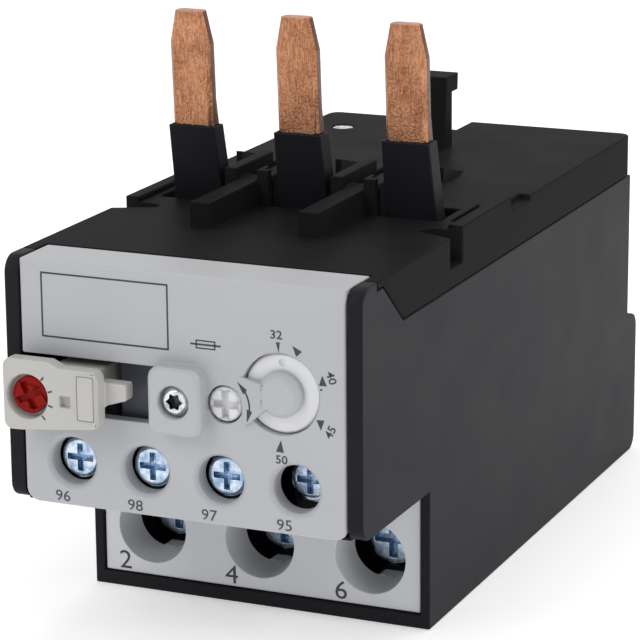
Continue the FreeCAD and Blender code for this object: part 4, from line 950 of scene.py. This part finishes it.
@dataclass
class Blades:
    """The copper blades and their sleeves."""

    blade_edge: float = 0.14
    sleeve_edge: float = 0.2
    shaded_side_share: float = 0.9

    def build(self) -> None:
        """Dress the blades."""
        for i in range(1, 4):
            blade = softened(f"line_blade_{i}", f"line_blade_{i}_strip", self.blade_edge)
            # faces turned along X take the darker copper, as painted shade
            dressed(blade, "copper", "copper_shaded_side",
                    lambda face: abs(face.normal.x) > self.shaded_side_share)
            settle(blade, Body.CASING, "copper", [f"line_blade_{i}"])
            sleeve = softened(f"blade_sleeve_{i}", f"blade_sleeve_{i}_moulding",
                              self.sleeve_edge)
            settle(sleeve, Body.CASING, "black", [f"blade_sleeve_{i}"])


@dataclass
class SettingDial:
    """The dial ring, the setting screw and the scale round them.

    The numbers are (text, across, up, turn), and the darts (across, up, heading, and
    their width and length as shares of the usual ones), in millimetres and degrees.
    """

    ring_edge: float = 0.06
    screw_edge: float = 0.08
    text_height: float = 1.25
    numbers: tuple[tuple[str, float, float, float], ...] = (
        ("32", 15.02, 50.8, 0.0), ("40", 23.3, 45.45, 70.0),
        ("45", 23.2, 37.6, -63.0), ("50", 15.64, 32.65, 0.0))
    darts: tuple[tuple[float, float, float, float, float], ...] = (
        (15.33, 49.05, -85.0, 0.5, 1.0), (18.0, 48.95, 132.0, 1.0, 1.0),
        (22.02, 44.95, 93.0, 1.0, 1.0), (21.68, 38.45, -88.0, 1.0, 1.0),
        (15.5, 34.7, 85.0, 1.0, 1.2))
    dart_size: Point = (1.2, 1.5)
    dart_notch: float = 0.22
    dot_place: Point = (21.8, 43.61)
    dot_radius: float = 0.16

    def build(self) -> None:
        """Dress the dial."""
        ring = softened("setting_dial", "setting_dial_moulding", self.ring_edge)
        settle(ring, Body.DIAL, "dial", ["setting_dial"])
        screw = softened("setting_screw", "setting_screw_moulding", self.screw_edge)
        settle(screw, Body.SETTING, "dial", ["setting_screw"])
        self.scale()

    def scale(self) -> None:
        """The numbers, and the small darts that point at the ring."""
        face = FrontCover().face
        for i, (text, across, up, turn) in enumerate(self.numbers, start=1):
            piece = number(f"dial_number_{i}", text, self.text_height * MM, across * MM,
                           face, up * MM, turn, bold=0.012, width=WIDE)
            settle(piece, Body.CASING, "ink")
        width, length = self.dart_size
        shapes = Shapes("DialMarks", {"Width": width * MM, "Length": length * MM,
                                      "Notch": self.dart_notch * MM,
                                      "Dot": self.dot_radius * MM, "Ink": INK_DEPTH}, {})
        marks = []
        for across, up, heading, wide, tall in self.darts:
            head = shapes.dart(shapes.math("MULTIPLY", shapes.size("Width"), wide),
                               shapes.math("MULTIPLY", shapes.size("Length"), tall),
                               shapes.size("Notch"), shapes.size("Ink"))
            turn = (0.0, 0.0, math.radians(heading - 90.0))
            marks.append(shapes.moved(head, (across * MM, up * MM, 0.0), turn))
        dot = shapes.node("GeometryNodeMeshCircle", {"fill_type": "NGON"}, {
            "Vertices": 12, "Radius": shapes.size("Dot")}).outputs[0]
        across, up = self.dot_place
        marks.append(shapes.moved(shapes.raised(dot, shapes.size("Ink")),
                                  (across * MM, up * MM, 0.0)))
        placed = shapes.on_front(shapes.together(marks), (0.0, face, 0.0))
        settle(shapes.piece("dial_marks", placed, "ink"), Body.CASING, "ink")


@dataclass
class ResetKey:
    """The key in the cover's slot and the red selector in it."""

    edge: float = 0.3
    selector_edge: float = 0.1
    tick_radius: float = 3.8
    tick_size: Point = (0.26, 0.75)
    first_tick: float = -49.0
    tick_sweep: float = 99.0
    ahead: float = 1.0

    def build(self) -> None:
        """Dress the key."""
        key = softened("reset_key", "reset_key_moulding", self.edge, 3)
        settle(key, Body.KEY, "key", ["reset_key"])
        selector = softened("mode_selector", "mode_selector_moulding",
                            self.selector_edge)
        settle(selector, Body.SELECTOR, "red", ["mode_selector"])
        self.ticks()

    def ticks(self) -> None:
        """The four setting marks round the selector, draped over the key."""
        width, length = self.tick_size
        shapes = Shapes("SelectorTicks", {
            "Radius": self.tick_radius * MM, "First": math.radians(self.first_tick),
            "Sweep": math.radians(self.tick_sweep), "Length": length * MM,
            "Width": width * MM, "Ink": INK_DEPTH}, {"Count": 4})
        arc = shapes.node("GeometryNodeCurveArc", {"mode": "RADIUS"}, {
            "Resolution": shapes.size("Count"), "Radius": shapes.size("Radius"),
            "Start Angle": shapes.size("First"), "Sweep Angle": shapes.size("Sweep")
        }).outputs[0]
        points = shapes.node("GeometryNodeCurveToPoints", {"mode": "EVALUATED"}, {
            "Curve": arc})
        bar = shapes.node("GeometryNodeMeshCube", {}, {
            "Size": shapes.vector(shapes.size("Width"), shapes.size("Length"),
                                  shapes.size("Ink"))}).outputs[0]
        spot = shapes.node("GeometryNodeInputPosition", {}, {}).outputs[0]
        radial = shapes.node("FunctionNodeAlignRotationToVector", {"axis": "Y"}, {
            "Vector": spot}).outputs[0]
        marks = shapes.node("GeometryNodeInstanceOnPoints", {}, {
            "Points": points.outputs["Points"], "Instance": bar,
            "Rotation": radial}).outputs[0]
        real = shapes.node("GeometryNodeRealizeInstances", {}, {0: marks}).outputs[0]
        centre = Span.of("mode_selector").middle
        level = Span.of("reset_key").low.y - self.ahead * MM
        flat = shapes.on_front(real, (centre.x, level, centre.z))
        draped = shapes.draped(flat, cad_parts["reset_key"], level)
        settle(shapes.piece("selector_ticks", draped, "ink"), Body.KEY, "ink")


@dataclass
class Mechanism:
    """The pieces inside the casing, which keep their own solids."""

    finishes: dict[str, str] = field(default_factory=lambda: {
        "heater_coil": "heater", "bimetal_strip": "bimetal", "load_terminal": "copper",
        "aux_terminal": "zinc", "mechanism_frame": "frame", "trip_slider": "frame",
        "trip_lever": "bimetal", "contact_rocker": "frame", "opening_contact": "spring",
        "closing_contact": "spring", "lever_pin": "zinc", "rocker_pin": "zinc",
        "reset_spring": "spring",
    })

    def build(self) -> None:
        """Give every carried-over solid its finish."""
        for node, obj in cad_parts.items():
            if obj.hide_render:
                continue
            stem = node.rstrip("0123456789").rstrip("_")
            name = self.finishes.get(node, self.finishes.get(stem, "black"))
            obj.data.materials.clear()
            obj.data.materials.append(finish(name))
            log.info("%s keeps its solid in %s", node, name)


@dataclass(frozen=True)
class Lamp:
    """A soft square lamp that looks at the object."""

    name: str
    power: float
    size: float
    place: tuple[float, float, float]

    def build(self, target: Vector) -> None:
        """Hang the lamp and turn it to its target."""
        data = bpy.data.lights.new(self.name, "AREA")
        data.energy = self.power
        data.size = self.size
        obj = new_piece(self.name, data)
        obj.location = self.place
        way = target - Vector(self.place)
        obj.rotation_euler = way.to_track_quat("-Z", "Y").to_euler()


@dataclass
class Studio:
    """The floor, the lamps and the camera."""

    azimuth: float = 23.637
    elevation: float = 14.984
    roll: float = -0.4532
    lens: float = 168.33
    eye: Vector = field(default_factory=lambda: Vector((181.527, -424.925, 160.350)) * MM)
    floor_reach: float = 6.0
    floor_white: float = 0.95
    floor_lift: float = 0.34
    fill: float = 0.5
    target: Vector = field(default_factory=lambda: Vector((0.0, 0.0, 0.035)))
    hung: tuple[Lamp, ...] = (
        Lamp("key_lamp", 5.0, 0.7, (-0.55, -0.8, 0.85)),
        Lamp("side_lamp", 3.0, 0.6, (0.95, -0.15, 0.55)),
        Lamp("top_lamp", 3.5, 0.8, (0.1, 0.35, 1.1)))

    def build(self) -> None:
        """Set the stage."""
        self.floor()
        self.lamps()
        self.camera()
        scene = bpy.context.scene
        scene.view_settings.view_transform = "Standard"

    def floor(self) -> None:
        """A pale floor that looks white to the camera and to what reflects it."""
        mesh = bpy.data.meshes.new("floor")
        reach = self.floor_reach
        mesh.from_pydata([(-reach, -reach, 0), (reach, -reach, 0), (reach, reach, 0),
                          (-reach, reach, 0)], [], [(0, 1, 2, 3)])
        graph = Graph("PaleFloor")
        white = self.floor_white
        graph.surface(Base_Color=(white, white, white, 1.0), Roughness=0.8,
                      Emission_Color=(1.0, 1.0, 1.0, 1.0), Emission_Strength=self.floor_lift)
        mesh.materials.append(graph.material)
        new_piece("floor", mesh)

    def lamps(self) -> None:
        """A white world and three soft lamps."""
        world = bpy.data.worlds.new("Studio")
        world.use_nodes = True
        background = world.node_tree.nodes["Background"]
        path = world.node_tree.nodes.new("ShaderNodeLightPath")
        either = world.node_tree.nodes.new("ShaderNodeMath")
        either.operation = "MAXIMUM"
        links = world.node_tree.links
        links.new(path.outputs["Is Camera Ray"], either.inputs[0])
        links.new(path.outputs["Is Glossy Ray"], either.inputs[1])
        background.inputs["Color"].default_value = (1.0, 1.0, 1.0, 1.0)
        strength = world.node_tree.nodes.new("ShaderNodeMapRange")
        strength.inputs["To Min"].default_value = self.fill
        strength.inputs["To Max"].default_value = 1.0
        links.new(either.outputs[0], strength.inputs["Value"])
        links.new(strength.outputs[0], background.inputs["Strength"])
        bpy.context.scene.world = world
        for lamp in self.hung:
            lamp.build(self.target)

    def camera(self) -> None:
        """The camera, turned by azimuth, elevation and roll."""
        data = bpy.data.cameras.new("camera")
        data.sensor_width = 36.0
        data.lens = self.lens
        data.clip_start, data.clip_end = 0.01, 20.0
        obj = new_piece("camera", data)
        turn, dip, roll = (math.radians(v) for v in (self.azimuth, self.elevation, self.roll))
        ahead = Vector((-math.sin(turn) * math.cos(dip), math.cos(turn) * math.cos(dip),
                        -math.sin(dip)))
        right = Vector((math.cos(turn), math.sin(turn), 0.0))
        up = right.cross(ahead)
        across = right * math.cos(roll) + up * math.sin(roll)
        above = up * math.cos(roll) - right * math.sin(roll)
        matrix = Matrix((across, above, -ahead)).transposed().to_4x4()
        matrix.translation = self.eye
        obj.matrix_world = matrix
        bpy.context.scene.camera = obj


def main() -> None:
    """Build every sub-assembly in order."""
    logging.basicConfig(level=logging.INFO, format="%(name)s: %(message)s")
    for part in (Casing(), FrontCover(), TerminalBlock(), Blades(), SettingDial(),
                 ResetKey(), Mechanism(), Studio()):
        log.info("building %s", type(part).__name__)
        part.build()


if __name__ == "__main__":
    main()
